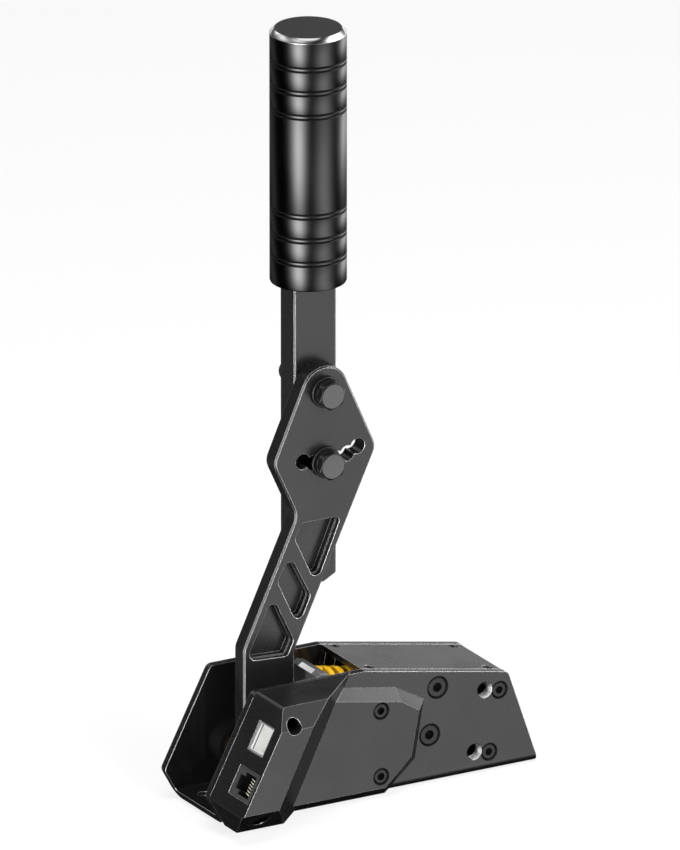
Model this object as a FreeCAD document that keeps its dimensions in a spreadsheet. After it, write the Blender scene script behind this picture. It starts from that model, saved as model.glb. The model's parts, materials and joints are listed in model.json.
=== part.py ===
import FreeCAD, Part
import Sketcher
import math
import os

# Sim racing handbrake, in millimetres.
# +X runs along the base from the cable ports to the driver, +Y is the side without ports, +Z is up.
# The origin is on the mounting plane, midway between the channel's walls.

VECTOR = FreeCAD.Vector
AXIS_X = VECTOR(1, 0, 0)
AXIS_Y = VECTOR(0, 1, 0)
AXIS_Z = VECTOR(0, 0, 1)


class Size:
    """A length or angle that knows its value and the expression that gives it in the document."""

    def __init__(self, value, text):
        self.value = float(value)
        self.text = text

    def __add__(self, other):
        other = as_size(other)
        return Size(self.value + other.value, f"({self.text} + {other.text})")

    def __sub__(self, other):
        other = as_size(other)
        return Size(self.value - other.value, f"({self.text} - {other.text})")

    def __mul__(self, other):
        other = as_size(other)
        return Size(self.value * other.value, f"({self.text} * {other.text})")

    def __truediv__(self, other):
        other = as_size(other)
        return Size(self.value / other.value, f"({self.text} / {other.text})")

    def __radd__(self, other):
        return as_size(other) + self

    def __rsub__(self, other):
        return as_size(other) - self

    def __rmul__(self, other):
        return as_size(other) * self

    def __rtruediv__(self, other):
        return as_size(other) / self

    def __neg__(self):
        return Size(-self.value, f"(-1 * {self.text})")


def as_size(number):
    if isinstance(number, Size):
        return number
    return Size(number, f"({float(number)!r})")


def sine(angle):
    return Size(math.sin(math.radians(angle.value)), f"sin({angle.text} * 1 deg)")


def cosine(angle):
    return Size(math.cos(math.radians(angle.value)), f"cos({angle.text} * 1 deg)")


def tangent(angle):
    return Size(math.tan(math.radians(angle.value)), f"tan({angle.text} * 1 deg)")


# Driving sizes: alias, value in millimetres or degrees, meaning
SIZE_TABLE = [
    ("channel_width", 41.0, "outer width of the folded channel"),
    ("sheet", 3.5, "wall and floor thickness of the channel"),
    ("bend_radius", 5.0, "outer radius of the two long bends"),
    ("top_height", 55.6, "height of the level part of the walls"),
    ("front_x", -56.6, "upper front corner of the walls"),
    ("front_slant", 27.4, "lean of the front edge from vertical"),
    ("toe_height", 13.3, "height of the foremost corner"),
    ("toe_slant", 28.8, "lean of the chamfer under the foremost corner"),
    ("ridge_x", -4.5, "where the roof starts to fall"),
    ("roof_slope", 10.5, "fall of the roof, and of the spring's axis"),
    ("rear_top_x", 64.0, "upper rear corner of the walls"),
    ("rear_slant", 19.1, "lean of the rear edge from vertical"),
    ("wall_corner", 3.0, "rounding of the walls' corners"),
    ("cover_front_x", -4.0, "front edge of the top cover"),
    ("cover_rear_x", 62.5, "rear edge of the top cover"),
    ("cover_thickness", 2.5, "thickness of the top cover"),
    ("cover_gap", 0.15, "gap between the cover and each wall"),
    ("cover_screw_front_x", 1.0, "front pair of cover screws"),
    ("cover_screw_rear_x", 57.5, "rear pair of cover screws"),
    ("cover_screw_side", 14.4, "cover screws to the middle"),
    ("pivot_x", -40.5, "lever pivot along the base"),
    ("pivot_height", 16.5, "lever pivot above the mounting plane"),
    ("shaft_radius", 5.0, "lever shaft"),
    ("bush_radius", 7.0, "outside of the flanged bushes"),
    ("bush_flange_radius", 9.0, "flange of the flanged bushes"),
    ("bush_flange", 1.5, "thickness of the flange"),
    ("running_gap", 0.03, "radial clearance of a running fit"),
    ("side_gap", 0.3, "axial clearance beside a turning part"),
    ("arm_thickness", 8.0, "lever plate"),
    ("arm_foot_width", 24.3, "width of the lever plate at its foot"),
    ("arm_bevel", 0.7, "bevel round the lever plate"),
    ("arm_lean", 24.95, "lean of the lever plate's rear edge"),
    ("tilt_x", -14.0, "tilt bolt and lock bolt along the base"),
    ("tilt_height", 175.3, "tilt bolt above the mounting plane"),
    ("lock_drop", 30.8, "lock bolt below the tilt bolt"),
    ("head_round", 11.0, "rounding of the lever plate's top about the tilt bolt"),
    ("shoulder_reach", 24.4, "tilt bolt to each shoulder, sideways"),
    ("shoulder_drop", 28.0, "tilt bolt to the shoulders, downwards"),
    ("shoulder_round", 7.0, "rounding of the shoulders"),
    ("neck_reach", 13.3, "tilt bolt to the corner under the front shoulder, sideways"),
    ("neck_drop", 52.4, "tilt bolt to that corner, downwards"),
    ("pocket_depth", 5.5, "depth of the lightening pockets"),
    ("ledge_depth", 2.6, "depth of the ledge round each pocket"),
    ("ledge_width", 0.6, "width of that ledge"),
    ("lobe_radius", 3.4, "round seats of the lock slot"),
    ("lobe_step", 10.0, "angle between two seats"),
    ("slot_half_width", 2.15, "half the width of the way between two seats"),
    ("bar_width", 20.0, "handle bar, seen from the side"),
    ("bar_depth", 12.0, "handle bar, seen from the front"),
    ("bar_bottom", 88.5, "lower end of the handle bar"),
    ("face_gap", 0.1, "gap between the lever plate and what tilts on it"),
    ("grip_radius", 16.0, "grip"),
    ("grip_bottom", 220.0, "lower end of the grip"),
    ("grip_length", 110.2, "length of the grip"),
    ("grip_bevel", 2.0, "width of the bright bevel on top"),
    ("notch_depth", 0.55, "depth of the fine rings in the grip"),
    ("notch_spacing", 1.76, "distance between the two rings of a pair"),
    ("stud_radius", 4.0, "stud between the bar and the grip"),
    ("bolt_radius", 3.0, "tilt bolt"),
    ("lock_radius", 2.0, "waist of the lock bolt"),
    ("bolt_flats", 11.0, "across the flats of the bolt heads"),
    ("bolt_head", 4.0, "height of the bolt heads"),
    ("washer_radius", 6.75, "plain washers"),
    ("washer", 1.5, "thickness of the plain washers"),
    ("spring_washer_radius", 5.6, "split washers"),
    ("spring_washer", 1.4, "thickness of the split washers"),
    ("nut_flats", 10.0, "across the flats of the cap nuts"),
    ("nut_height", 6.5, "height of the cap nuts' hexagon"),
    ("dome_radius", 4.75, "dome of the cap nuts"),
    ("dome_rise", 1.2, "centre of the dome above the hexagon"),
    ("contact_drop", 14.3, "centre of the plunger's nose below the walls' top"),
    ("nose_radius", 6.0, "round nose of the plunger"),
    ("nose_gap", 0.1, "gap between the nose and the lever at rest"),
    ("seat_radius", 12.6, "spring seat of the plunger"),
    ("plate_ahead", 1.4, "pressure plate ahead of the nose's centre"),
    ("plate_width", 22.0, "pressure plate, from side to side"),
    ("plate_above", 13.2, "top of the pressure plate above the spring's axis"),
    ("plate_below", 11.0, "bottom of the pressure plate below the spring's axis"),
    ("plate_bevel", 1.6, "bevel along the pressure plate's front edges"),
    ("seat_thickness", 4.5, "spring seat of the plunger"),
    ("boss_radius", 8.1, "boss that centres the spring"),
    ("boss_length", 5.5, "boss that centres the spring"),
    ("rod_radius", 4.0, "rod of the plunger"),
    ("travel", 8.6, "stroke of the plunger"),
    ("spring_radius", 12.75, "outside of the spring"),
    ("wire_width", 4.3, "flat wire, across the coil"),
    ("wire_height", 2.8, "flat wire, along the coil"),
    ("end_pitch", 3.3, "pitch of the closed end turns"),
    ("block_centre_x", 28.4, "middle of the spring block"),
    ("block_thickness", 10.0, "spring block, along the spring's axis"),
    ("block_screw_pitch", 20.7, "distance between the two spring block screws"),
    ("guide_bush_radius", 6.0, "guide bush of the rod"),
    ("bump_radius", 7.75, "rubber bump stop"),
    ("bump_bore", 4.5, "bore of the rubber bump stop"),
    ("mount_radius", 3.5, "side mounting holes"),
    ("mount_low_x", 47.8, "lower side mounting hole"),
    ("mount_low_z", 10.3, "lower side mounting hole"),
    ("mount_high_drop", 8.147, "upper side mounting hole below the roof line over the lower one"),
    ("mount_to_screw", 7.3, "side mounting hole to the screw beside it"),
    ("rear_recess", 2.5, "rear block behind the walls' rear edge"),
    ("rear_block_ahead", 5.5, "rear block ahead of the side mounting holes"),
    ("floor_hole_radius", 2.65, "mounting holes in the floor"),
    ("floor_hole_front_x", -65.0, "front pair of floor holes"),
    ("floor_hole_run", 75.0, "front pair to rear pair of floor holes"),
    ("floor_hole_side", 7.8, "floor holes to the middle"),
    ("pod_reach", 28.8, "side housing's pod, outwards from the wall"),
    ("pod_rise", 0.9, "top of the pod above the walls"),
    ("pod_low_reach", 10.2, "pod's underside, outwards from the wall"),
    ("pod_low_height", 14.3, "upper end of the pod's lower chamfer"),
    ("pod_high_reach", 22.2, "pod's top face, outwards from the wall"),
    ("pod_high_drop", 8.3, "lower end of the pod's upper chamfer below the pod's top"),
    ("facet_x", -46.2, "pod's rear edge on its outer face, at the height below"),
    ("facet_drop", 9.4, "that height below the walls' top"),
    ("facet_lean", 0.477, "lean of that edge, as a slope"),
    ("facet_run", 1.04, "run of the rear facet, as a slope"),
    ("panel_reach", 4.7, "side panel, outwards from the wall"),
    ("skin", 2.0, "wall of the moulded housing"),
    ("column_radius", 4.1, "screw columns in the housing"),
    ("usb_drop", 14.9, "square socket, down the front face"),
    ("usb_high", 12.6, "square socket, along the front face"),
    ("usb_wide", 11.9, "square socket, outwards"),
    ("jack_drop", 34.8, "cable jack, down the front face"),
    ("jack_high", 12.4, "cable jack, along the front face"),
    ("jack_wide", 16.0, "cable jack, outwards"),
    ("socket_depth", 15.5, "depth of the square socket"),
    ("jack_depth", 11.8, "depth of the cable jack"),
    ("socket_gap", 0.15, "gap round a socket in the housing"),
    ("board_reach", 9.5, "circuit board, outwards from the wall"),
    ("board", 1.6, "thickness of the circuit board"),
    ("board_ahead", 3.2, "front edge of the circuit board behind the pod's front face"),
    ("board_high", 8.8, "upper edge of the circuit board, down the front face"),
    ("board_long", 19.0, "circuit board, square to the front face"),
    ("board_tall", 33.0, "circuit board, along the front face"),
    ("spacer_radius", 2.5, "spacers of the circuit board"),
    ("spacer_back", 19.0, "spacers behind the pod's front face"),
    ("spacer_high", 11.5, "upper spacer, down the front face"),
    ("spacer_low", 38.5, "lower spacer, down the front face"),
    ("shell_metal", 0.6, "metal of the square socket"),
    ("socket_recess", 0.3, "sockets behind the pod's front face"),
    ("screw_sink", 0.2, "screw heads below the face round them"),
    ("seat_gap", 0.1, "radial clearance of a screw head in its seat and of a shank in its hole"),
    ("block_head_radius", 4.6, "head of the spring block screws"),
    ("block_head", 2.0, "height of those heads"),
    ("block_screw_radius", 2.5, "shank of the spring block screws"),
    ("block_screw_length", 11.0, "shank of the spring block screws"),
    ("block_socket", 3.0, "socket of the spring block screws, across its flats"),
    ("rear_head_radius", 3.55, "head of the rear block screws"),
    ("rear_head", 1.6, "height of those heads"),
    ("rear_screw_radius", 2.0, "shank of the rear block screws"),
    ("rear_screw_length", 8.0, "shank of the rear block screws"),
    ("rear_socket", 2.5, "socket of the rear block screws, across its flats"),
    ("cover_head_radius", 2.3, "head of the cover screws"),
    ("cover_head", 1.4, "height of those heads"),
    ("cover_screw_radius", 1.25, "shank of the cover screws"),
    ("cover_screw_length", 4.4, "shank of the cover screws"),
    ("cover_socket", 1.5, "socket of the cover screws, across its flats"),
    ("panel_head_radius", 3.4, "head of the panel screws"),
    ("housing_head", 2.0, "height of the heads of the housing's screws"),
    ("housing_screw_radius", 1.5, "shank of the housing's screws"),
    ("panel_screw_length", 5.5, "shank of the panel screws"),
    ("panel_socket", 2.5, "socket of the panel screws, across its flats"),
    ("pod_head_radius", 2.8, "head of the screws deep in the pod"),
    ("pod_well", 3.3, "wells of those screws"),
    ("pod_seat", 4.0, "floor of those wells, outwards from the wall"),
    ("pod_screw_length", 7.0, "shank of those screws"),
    ("pod_socket", 2.0, "socket of those screws, across its flats"),
    ("pod_screw_back", 2.8, "upper pod screw behind the walls' upper front corner"),
    ("pod_screw_drop", 6.3, "upper pod screw below the walls' top"),
    ("pod_low_screw_back", 6.22, "lower pod screw behind the front edge of the floor"),
    ("pod_low_screw_z", 7.6, "lower pod screw above the mounting plane"),
    ("panel_screw_x", 0.7, "panel screws along the base"),
    ("panel_screw_drop", 17.0, "upper panel screw below the walls' top"),
    ("panel_low_screw_z", 9.6, "lower panel screw above the mounting plane"),
    ("board_head_radius", 2.2, "head of the circuit board screws"),
    ("board_head", 1.4, "height of those heads"),
    ("board_screw_radius", 1.2, "shank of the circuit board screws"),
    ("board_screw_length", 5.5, "shank of the circuit board screws"),
    ("board_socket", 1.3, "socket of the circuit board screws, across its flats"),
    ("sleeve_radius", 10.0, "sleeves beside the lever plate"),
    ("sleeve_bevel", 1.5, "bevel on the outer end of the sleeves"),
    ("shaft_head_radius", 8.0, "head of the lever shaft"),
    ("shaft_head", 2.5, "height of that head"),
    ("magnet_radius", 3.0, "magnet in the shaft's end"),
    ("magnet_depth", 2.0, "seat of the magnet"),
    ("magnet_proud", 0.5, "magnet beyond the shaft's end"),
    ("pad_length", 8.7, "rubber pad under the heel"),
    ("pad_height", 4.4, "rubber pad under the heel"),
    ("pad_ahead", 18.1, "front end of the pad ahead of the lever pivot"),
    ("pad_inset", 0.2, "pad's sides inside the lever plate's faces"),
    ("bar_toe_run", 6.0, "bevels of the bar's lower end, across"),
    ("bar_toe_rise", 3.3, "bevels of the bar's lower end, upwards"),
    ("bar_bevel", 0.6, "bevel along the bar"),
    ("stud_in_bar", 16.0, "stud inside the bar"),
    ("stud_in_grip", 30.0, "stud inside the grip"),
    ("stud_end_gap", 2.0, "gap beyond each end of the stud"),
]

DOCUMENT = FreeCAD.newDocument("handbrake")
SHEET = DOCUMENT.addObject("Spreadsheet::Sheet", "sizes")


class Sizes:
    """The named sizes, one attribute each."""


SZ = Sizes()
for row, (alias, value, meaning) in enumerate(SIZE_TABLE, start=1):
    SHEET.set(f"A{row}", meaning)
    SHEET.set(f"B{row}", str(value))
    SHEET.setAlias(f"B{row}", alias)
    setattr(SZ, alias, Size(value, f"sizes.{alias}"))
DOCUMENT.recompute()

NODES = []


# Helpers that draw, extrude and place

def bind(thing, path, size):
    thing.setExpression(path, as_size(size).text)


def place(thing, position, turns=()):
    """Put a piece at a position after turning it about the given axes, in degrees."""
    rotation = FreeCAD.Rotation()
    for axis, angle in turns:
        rotation = FreeCAD.Rotation(axis, as_size(angle).value).multiply(rotation)
    x, y, z = (as_size(number) for number in position)
    thing.Placement = FreeCAD.Placement(VECTOR(x.value, y.value, z.value), rotation)
    for letter, number in zip("xyz", (x, y, z)):
        bind(thing, f"Placement.Base.{letter}", number)
    if len(turns) == 1:
        bind(thing, "Placement.Rotation.Angle", turns[0][1])


def node(thing, name):
    """Name a finished piece, which becomes one file."""
    thing.Label = name
    NODES.append(thing)
    return thing


def new_body(name):
    return DOCUMENT.addObject("PartDesign::Body", name)


def new_sketch(body, name, role, distance):
    """A sketch on one of the body's origin planes, moved along the plane's normal."""
    sketch = body.newObject("Sketcher::SketchObject", name)
    plane = next(item for item in body.Origin.OriginFeatures if item.Role == role)
    sketch.AttachmentSupport = (plane, [""])
    sketch.MapMode = "FlatFace"
    distance = as_size(distance)
    sketch.AttachmentOffset = FreeCAD.Placement(VECTOR(0, 0, distance.value), FreeCAD.Rotation())
    bind(sketch, "AttachmentOffset.Base.z", distance)
    return sketch


def fix(sketch, kind, item, point, size):
    """Add one dimension to a sketch and tie it to the sheet."""
    target = (item,) if point is None else (item, point)
    number = sketch.addConstraint(Sketcher.Constraint(kind, *target, size.value))
    sketch.setExpression(f"Constraints[{number}]", size.text)


def draw_outline(sketch, corners):
    """A closed outline of straight runs whose corners (x, y, radius) may be rounded."""
    corners = [tuple(as_size(number) for number in (*corner, 0)[:3]) for corner in corners]
    points = [VECTOR(x.value, y.value, 0) for x, y, _ in corners]
    count = len(points)
    starts, ends, rounds = [], [], []
    for index, (x, y, radius) in enumerate(corners):
        here = points[index]
        back = (points[index - 1] - here).normalize()
        ahead = (points[(index + 1) % count] - here).normalize()
        if radius.value <= 0:
            ends.append(here)
            starts.append(here)
            rounds.append(None)
            continue
        half = back.getAngle(ahead) / 2
        reach = radius.value / math.tan(half)
        centre = here + (back + ahead).normalize() * (radius.value / math.sin(half))
        ends.append(here + back * reach)
        starts.append(here + ahead * reach)
        rounds.append(centre)
    lines = []
    for index in range(count):
        line = Part.LineSegment(starts[index], ends[(index + 1) % count])
        lines.append(sketch.addGeometry(line, False))
    for index, (x, y, radius) in enumerate(corners):
        before, after = lines[index - 1], lines[index]
        if rounds[index] is None:
            sketch.addConstraint(Sketcher.Constraint("Coincident", before, 2, after, 1))
            fix(sketch, "DistanceX", after, 1, x)
            fix(sketch, "DistanceY", after, 1, y)
            continue
        centre = rounds[index]
        first = ends[index] - centre
        last = starts[index] - centre
        left_turn = first.cross(last).z > 0
        low, high = (first, last) if left_turn else (last, first)
        circle = Part.Circle(centre, AXIS_Z, radius.value)
        arc = Part.ArcOfCircle(circle, math.atan2(low.y, low.x), math.atan2(high.y, high.x))
        arc_index = sketch.addGeometry(arc, False)
        corner = sketch.addGeometry(Part.Point(points[index]), True)
        inward, outward = (1, 2) if left_turn else (2, 1)
        sketch.addConstraint(Sketcher.Constraint("Tangent", before, 2, arc_index, inward))
        sketch.addConstraint(Sketcher.Constraint("Tangent", after, 1, arc_index, outward))
        sketch.addConstraint(Sketcher.Constraint("PointOnObject", corner, 1, before))
        sketch.addConstraint(Sketcher.Constraint("PointOnObject", corner, 1, after))
        fix(sketch, "Radius", arc_index, None, radius)
        fix(sketch, "DistanceX", corner, 1, x)
        fix(sketch, "DistanceY", corner, 1, y)
    return sketch


def inset_outline(corners, distance):
    """A convex outline moved inwards, each side by the same distance; roundings shrink with it."""
    corners = [tuple(as_size(number) for number in (*corner, 0)[:3]) for corner in corners]
    points = [VECTOR(x.value, y.value, 0) for x, y, _ in corners]
    count = len(points)
    inner = []
    for index, (x, y, radius) in enumerate(corners):
        back = (points[index - 1] - points[index]).normalize()
        ahead = (points[(index + 1) % count] - points[index]).normalize()
        half = back.getAngle(ahead) / 2
        way = (back + ahead).normalize() * (1 / math.sin(half))
        smaller = radius - distance if radius.value > as_size(distance).value else 0
        inner.append((x + distance * way.x, y + distance * way.y, smaller))
    return inner


def draw_circles(sketch, centres, radius):
    radius = as_size(radius)
    for x, y in centres:
        x, y = as_size(x), as_size(y)
        circle = sketch.addGeometry(Part.Circle(VECTOR(x.value, y.value, 0), AXIS_Z, radius.value), False)
        fix(sketch, "Radius", circle, None, radius)
        fix(sketch, "DistanceX", circle, 3, x)
        fix(sketch, "DistanceY", circle, 3, y)
    return sketch


def pad(body, sketch, length, name):
    feature = body.newObject("PartDesign::Pad", name)
    feature.Profile = sketch
    feature.Length = as_size(length).value
    bind(feature, "Length", length)
    DOCUMENT.recompute()
    return feature


def cut(body, sketch, length, name, along_normal=False):
    """Pocket a sketch into the body and make sure that it takes something away."""
    before = body.Shape.Volume
    feature = body.newObject("PartDesign::Pocket", name)
    feature.Profile = sketch
    feature.Length = as_size(length).value
    bind(feature, "Length", length)
    feature.Reversed = along_normal
    DOCUMENT.recompute()
    if not feature.Shape.Volume < before - 1e-6:
        raise ValueError(f"{name} takes nothing away")
    return feature


def side_holes(body, name, centres, radius, start_y, depth, towards_plus_y=True):
    """Round holes along Y from the plane y = start_y."""
    sketch = new_sketch(body, f"{name}_sketch", "XZ_Plane", -as_size(start_y))
    draw_circles(sketch, centres, radius)
    return cut(body, sketch, depth, name, along_normal=not towards_plus_y)


def edges_at(shape, places, direction, tolerance=0.2):
    """Names of the straight edges that run along a direction through the given points."""
    names = []
    for number, edge in enumerate(shape.Edges, start=1):
        if edge.Curve.TypeId != "Part::GeomLine":
            continue
        if edge.tangentAt(edge.FirstParameter).cross(direction).Length > 1e-3:
            continue
        middle = edge.CenterOfMass
        for point in places:
            offset = middle - point
            if (offset - direction * offset.dot(direction)).Length < tolerance:
                names.append(f"Edge{number}")
                break
    return names


def round_edges(body, names, radius, name, kind="PartDesign::Fillet"):
    if not names:
        raise ValueError(f"{name} found no edge")
    feature_base = body.Tip
    feature = body.newObject(kind, name)
    feature.Base = (feature_base, names)
    path = "Radius" if kind == "PartDesign::Fillet" else "Size"
    setattr(feature, path, as_size(radius).value)
    bind(feature, path, radius)
    DOCUMENT.recompute()
    return feature


def revolved(name, profile, about="V_Axis", role="XZ_Plane"):
    """A body of revolution about one axis of its own sketch."""
    body = new_body(name)
    sketch = draw_outline(new_sketch(body, f"{name}_profile", role, 0), profile)
    feature = body.newObject("PartDesign::Revolution", f"{name}_turned")
    feature.Profile = sketch
    feature.ReferenceAxis = (sketch, [about])
    feature.Angle = 360
    DOCUMENT.recompute()
    return body


def cylinder(name, radius, height, position, turns=()):
    thing = DOCUMENT.addObject("Part::Cylinder", name)
    bind(thing, "Radius", radius)
    bind(thing, "Height", height)
    place(thing, position, turns)
    return thing


def hexagon(name, flats, height, position, turns=()):
    """A hexagonal prism, given across its flats."""
    thing = DOCUMENT.addObject("Part::Prism", name)
    thing.Polygon = 6
    bind(thing, "Circumradius", as_size(flats) / 2 / math.cos(math.radians(30)))
    bind(thing, "Height", height)
    place(thing, position, turns)
    return thing


def box(name, length, width, height, position, turns=()):
    thing = DOCUMENT.addObject("Part::Box", name)
    bind(thing, "Length", length)
    bind(thing, "Width", width)
    bind(thing, "Height", height)
    place(thing, position, turns)
    return thing


def joined(name, pieces):
    thing = DOCUMENT.addObject("Part::MultiFuse", name)
    thing.Shapes = pieces
    return thing


def without(name, base, tool):
    thing = DOCUMENT.addObject("Part::Cut", name)
    thing.Base = base
    thing.Tool = tool
    DOCUMENT.recompute()
    if not thing.Shape.Volume < base.Shape.Volume - 1e-6:
        raise ValueError(f"{name} takes nothing away")
    return thing


def group(name, pieces):
    thing = DOCUMENT.addObject("Part::Compound", name)
    thing.Links = pieces
    return node(thing, name)


def screw(name, position, turns, head_radius, head, shank_radius, shank, socket):
    """A socket screw whose head faces its own +Z, with the top of the head at the position."""
    head, shank, socket = as_size(head), as_size(shank), as_size(socket)
    parts = [
        cylinder(f"{name}_head", head_radius, head, (0, 0, -head)),
        cylinder(f"{name}_shank", shank_radius, shank, (0, 0, -head - shank)),
    ]
    recess = hexagon(f"{name}_recess", socket, head * 0.6, (0, 0, -head * 0.6))
    thing = without(name, joined(f"{name}_blank", parts), recess)
    place(thing, position, turns)
    return thing


# Lines and places that several pieces share

HALF_WIDTH = SZ.channel_width / 2
INNER_HALF = HALF_WIDTH - SZ.sheet
TOE_X = SZ.front_x - (SZ.top_height - SZ.toe_height) * tangent(SZ.front_slant)
FOOT_X = TOE_X + SZ.toe_height * tangent(SZ.toe_slant)
NEAR_SIDE = ((AXIS_X, 90),)
FAR_SIDE = ((AXIS_X, -90),)
SLOPED = ((AXIS_Y, SZ.roof_slope),)


def roof(x):
    """Height of the sloping roof line at a place along the base."""
    return SZ.top_height - (as_size(x) - SZ.ridge_x) * tangent(SZ.roof_slope)


def front_edge(z):
    """Place of the walls' slanted front edge at a height."""
    return SZ.front_x - (SZ.top_height - as_size(z)) * tangent(SZ.front_slant)


REAR_TOP_Z = roof(SZ.rear_top_x)
REAR_X = SZ.rear_top_x + REAR_TOP_Z * tangent(SZ.rear_slant)
ARM_HALF = SZ.arm_thickness / 2
ARM_REAR_X = SZ.pivot_x + SZ.arm_foot_width / 2
ARM_FRONT_X = SZ.pivot_x - SZ.arm_foot_width / 2
NOSE_X = ARM_REAR_X + SZ.nose_gap + SZ.nose_radius
NOSE_Z = SZ.top_height - SZ.contact_drop
POD_TOP = SZ.top_height + SZ.pod_rise


def on_axis(along, above=0):
    """A point of the spring's axis, so far behind the nose's centre and so far off the axis."""
    along, above = as_size(along), as_size(above)
    x = NOSE_X + along * cosine(SZ.roof_slope) + above * sine(SZ.roof_slope)
    z = NOSE_Z - along * sine(SZ.roof_slope) + above * cosine(SZ.roof_slope)
    return x, z


BLOCK_MIDDLE = (SZ.block_centre_x - NOSE_X) / cosine(SZ.roof_slope)
BLOCK_FRONT = BLOCK_MIDDLE - SZ.block_thickness / 2
BLOCK_SCREWS = [on_axis(BLOCK_MIDDLE, SZ.block_screw_pitch * share) for share in (-0.5, 0.5)]
MOUNT_PITCH = (roof(SZ.mount_low_x) - SZ.mount_high_drop - SZ.mount_low_z) * cosine(SZ.roof_slope)
MOUNT_HOLES = [
    (
        SZ.mount_low_x + MOUNT_PITCH * share * sine(SZ.roof_slope),
        SZ.mount_low_z + MOUNT_PITCH * share * cosine(SZ.roof_slope),
    )
    for share in (0, 1)
]
REAR_SCREWS = [
    (x + SZ.mount_to_screw * cosine(SZ.roof_slope), z - SZ.mount_to_screw * sine(SZ.roof_slope))
    for x, z in MOUNT_HOLES
]
FLOOR_HOLES = [
    (SZ.floor_hole_front_x + SZ.floor_hole_run * share, SZ.floor_hole_side * side)
    for share in (0, 1)
    for side in (-1, 1)
]
COVER_SCREWS = [
    (x, SZ.cover_screw_side * side) for x in (SZ.cover_screw_front_x, SZ.cover_screw_rear_x) for side in (-1, 1)
]
POD_SCREWS = [
    (SZ.front_x + SZ.pod_screw_back, SZ.top_height - SZ.pod_screw_drop),
    (FOOT_X + SZ.pod_low_screw_back, SZ.pod_low_screw_z),
]
PANEL_SCREWS = [
    (SZ.panel_screw_x, SZ.top_height - SZ.panel_screw_drop),
    (SZ.panel_screw_x, SZ.panel_low_screw_z),
]
NEAR_HEADS_Y = -HALF_WIDTH + SZ.screw_sink
FAR_HEADS_Y = HALF_WIDTH - SZ.screw_sink
SHAFT_END = HALF_WIDTH - SZ.screw_sink


def build_chassis():
    """One sheet folded to a U, trimmed to the slanted front, the falling roof line and the rear."""
    body = new_body("chassis")
    over = 1.0
    inner_bend = SZ.bend_radius - SZ.sheet
    section = [
        (-HALF_WIDTH, 0, SZ.bend_radius),
        (HALF_WIDTH, 0, SZ.bend_radius),
        (HALF_WIDTH, SZ.top_height),
        (INNER_HALF, SZ.top_height),
        (INNER_HALF, SZ.sheet, inner_bend),
        (-INNER_HALF, SZ.sheet, inner_bend),
        (-INNER_HALF, SZ.top_height),
        (-HALF_WIDTH, SZ.top_height),
    ]
    pad(body, draw_outline(new_sketch(body, "u_section", "YZ_Plane", TOE_X), section), REAR_X - TOE_X, "folded")
    front_waste = [
        (TOE_X - over, -over),
        (FOOT_X, -over),
        (FOOT_X, 0),
        (TOE_X, SZ.toe_height),
        (SZ.front_x, SZ.top_height),
        (SZ.front_x, SZ.top_height + over),
        (TOE_X - over, SZ.top_height + over),
    ]
    rear_waste = [
        (SZ.ridge_x, SZ.top_height + over),
        (SZ.ridge_x, SZ.top_height),
        (SZ.rear_top_x, REAR_TOP_Z),
        (REAR_X, 0),
        (REAR_X, -over),
        (REAR_X + over, -over),
        (REAR_X + over, SZ.top_height + over),
    ]
    across = SZ.channel_width + 2 * over
    for name, waste in (("front_trim", front_waste), ("rear_trim", rear_waste)):
        sketch = new_sketch(body, f"{name}_sketch", "XZ_Plane", HALF_WIDTH + over)
        cut(body, draw_outline(sketch, waste), across, name)
    corners = [
        VECTOR(x.value, 0, z.value)
        for x, z in (
            (SZ.front_x, SZ.top_height),
            (TOE_X, SZ.toe_height),
            (SZ.rear_top_x, REAR_TOP_Z),
        )
    ]
    round_edges(body, edges_at(body.Shape, corners, AXIS_Y), SZ.wall_corner, "wall_corners")
    holes_through = (
        ("pivot_holes", [(SZ.pivot_x, SZ.pivot_height)], SZ.bush_radius),
        ("mount_holes", MOUNT_HOLES, SZ.mount_radius),
        ("block_screw_holes", BLOCK_SCREWS, SZ.block_screw_radius + SZ.seat_gap),
        ("rear_screw_holes", REAR_SCREWS, SZ.rear_screw_radius + SZ.seat_gap),
    )
    for name, centres, radius in holes_through:
        side_holes(body, name, centres, radius, -HALF_WIDTH - over, across)
    for name, centres, radius, depth in (
        ("block_screw_seats", BLOCK_SCREWS, SZ.block_head_radius + SZ.seat_gap, SZ.block_head + SZ.screw_sink),
        ("rear_screw_seats", REAR_SCREWS, SZ.rear_head_radius + SZ.seat_gap, SZ.rear_head + SZ.screw_sink),
    ):
        side_holes(body, f"near_{name}", centres, radius, -HALF_WIDTH, depth)
        side_holes(body, f"far_{name}", centres, radius, HALF_WIDTH, depth, towards_plus_y=False)
    housing_screws = POD_SCREWS + PANEL_SCREWS
    through = SZ.sheet + 2 * over
    side_holes(body, "housing_screw_holes", housing_screws, SZ.housing_screw_radius, -HALF_WIDTH - over, through)
    floor = new_sketch(body, "floor_hole_sketch", "XY_Plane", SZ.sheet + over)
    cut(body, draw_circles(floor, FLOOR_HOLES, SZ.floor_hole_radius), SZ.sheet + 2 * over, "floor_holes")
    return node(body, "chassis")


def over_roof(x, y, rise, run=0):
    """A point so far square to the sloping roof and along it from the roof's line at a place."""
    rise, run = as_size(rise), as_size(run)
    return (
        x + rise * sine(SZ.roof_slope) + run * cosine(SZ.roof_slope),
        y,
        roof(x) + rise * cosine(SZ.roof_slope) - run * sine(SZ.roof_slope),
    )


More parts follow.
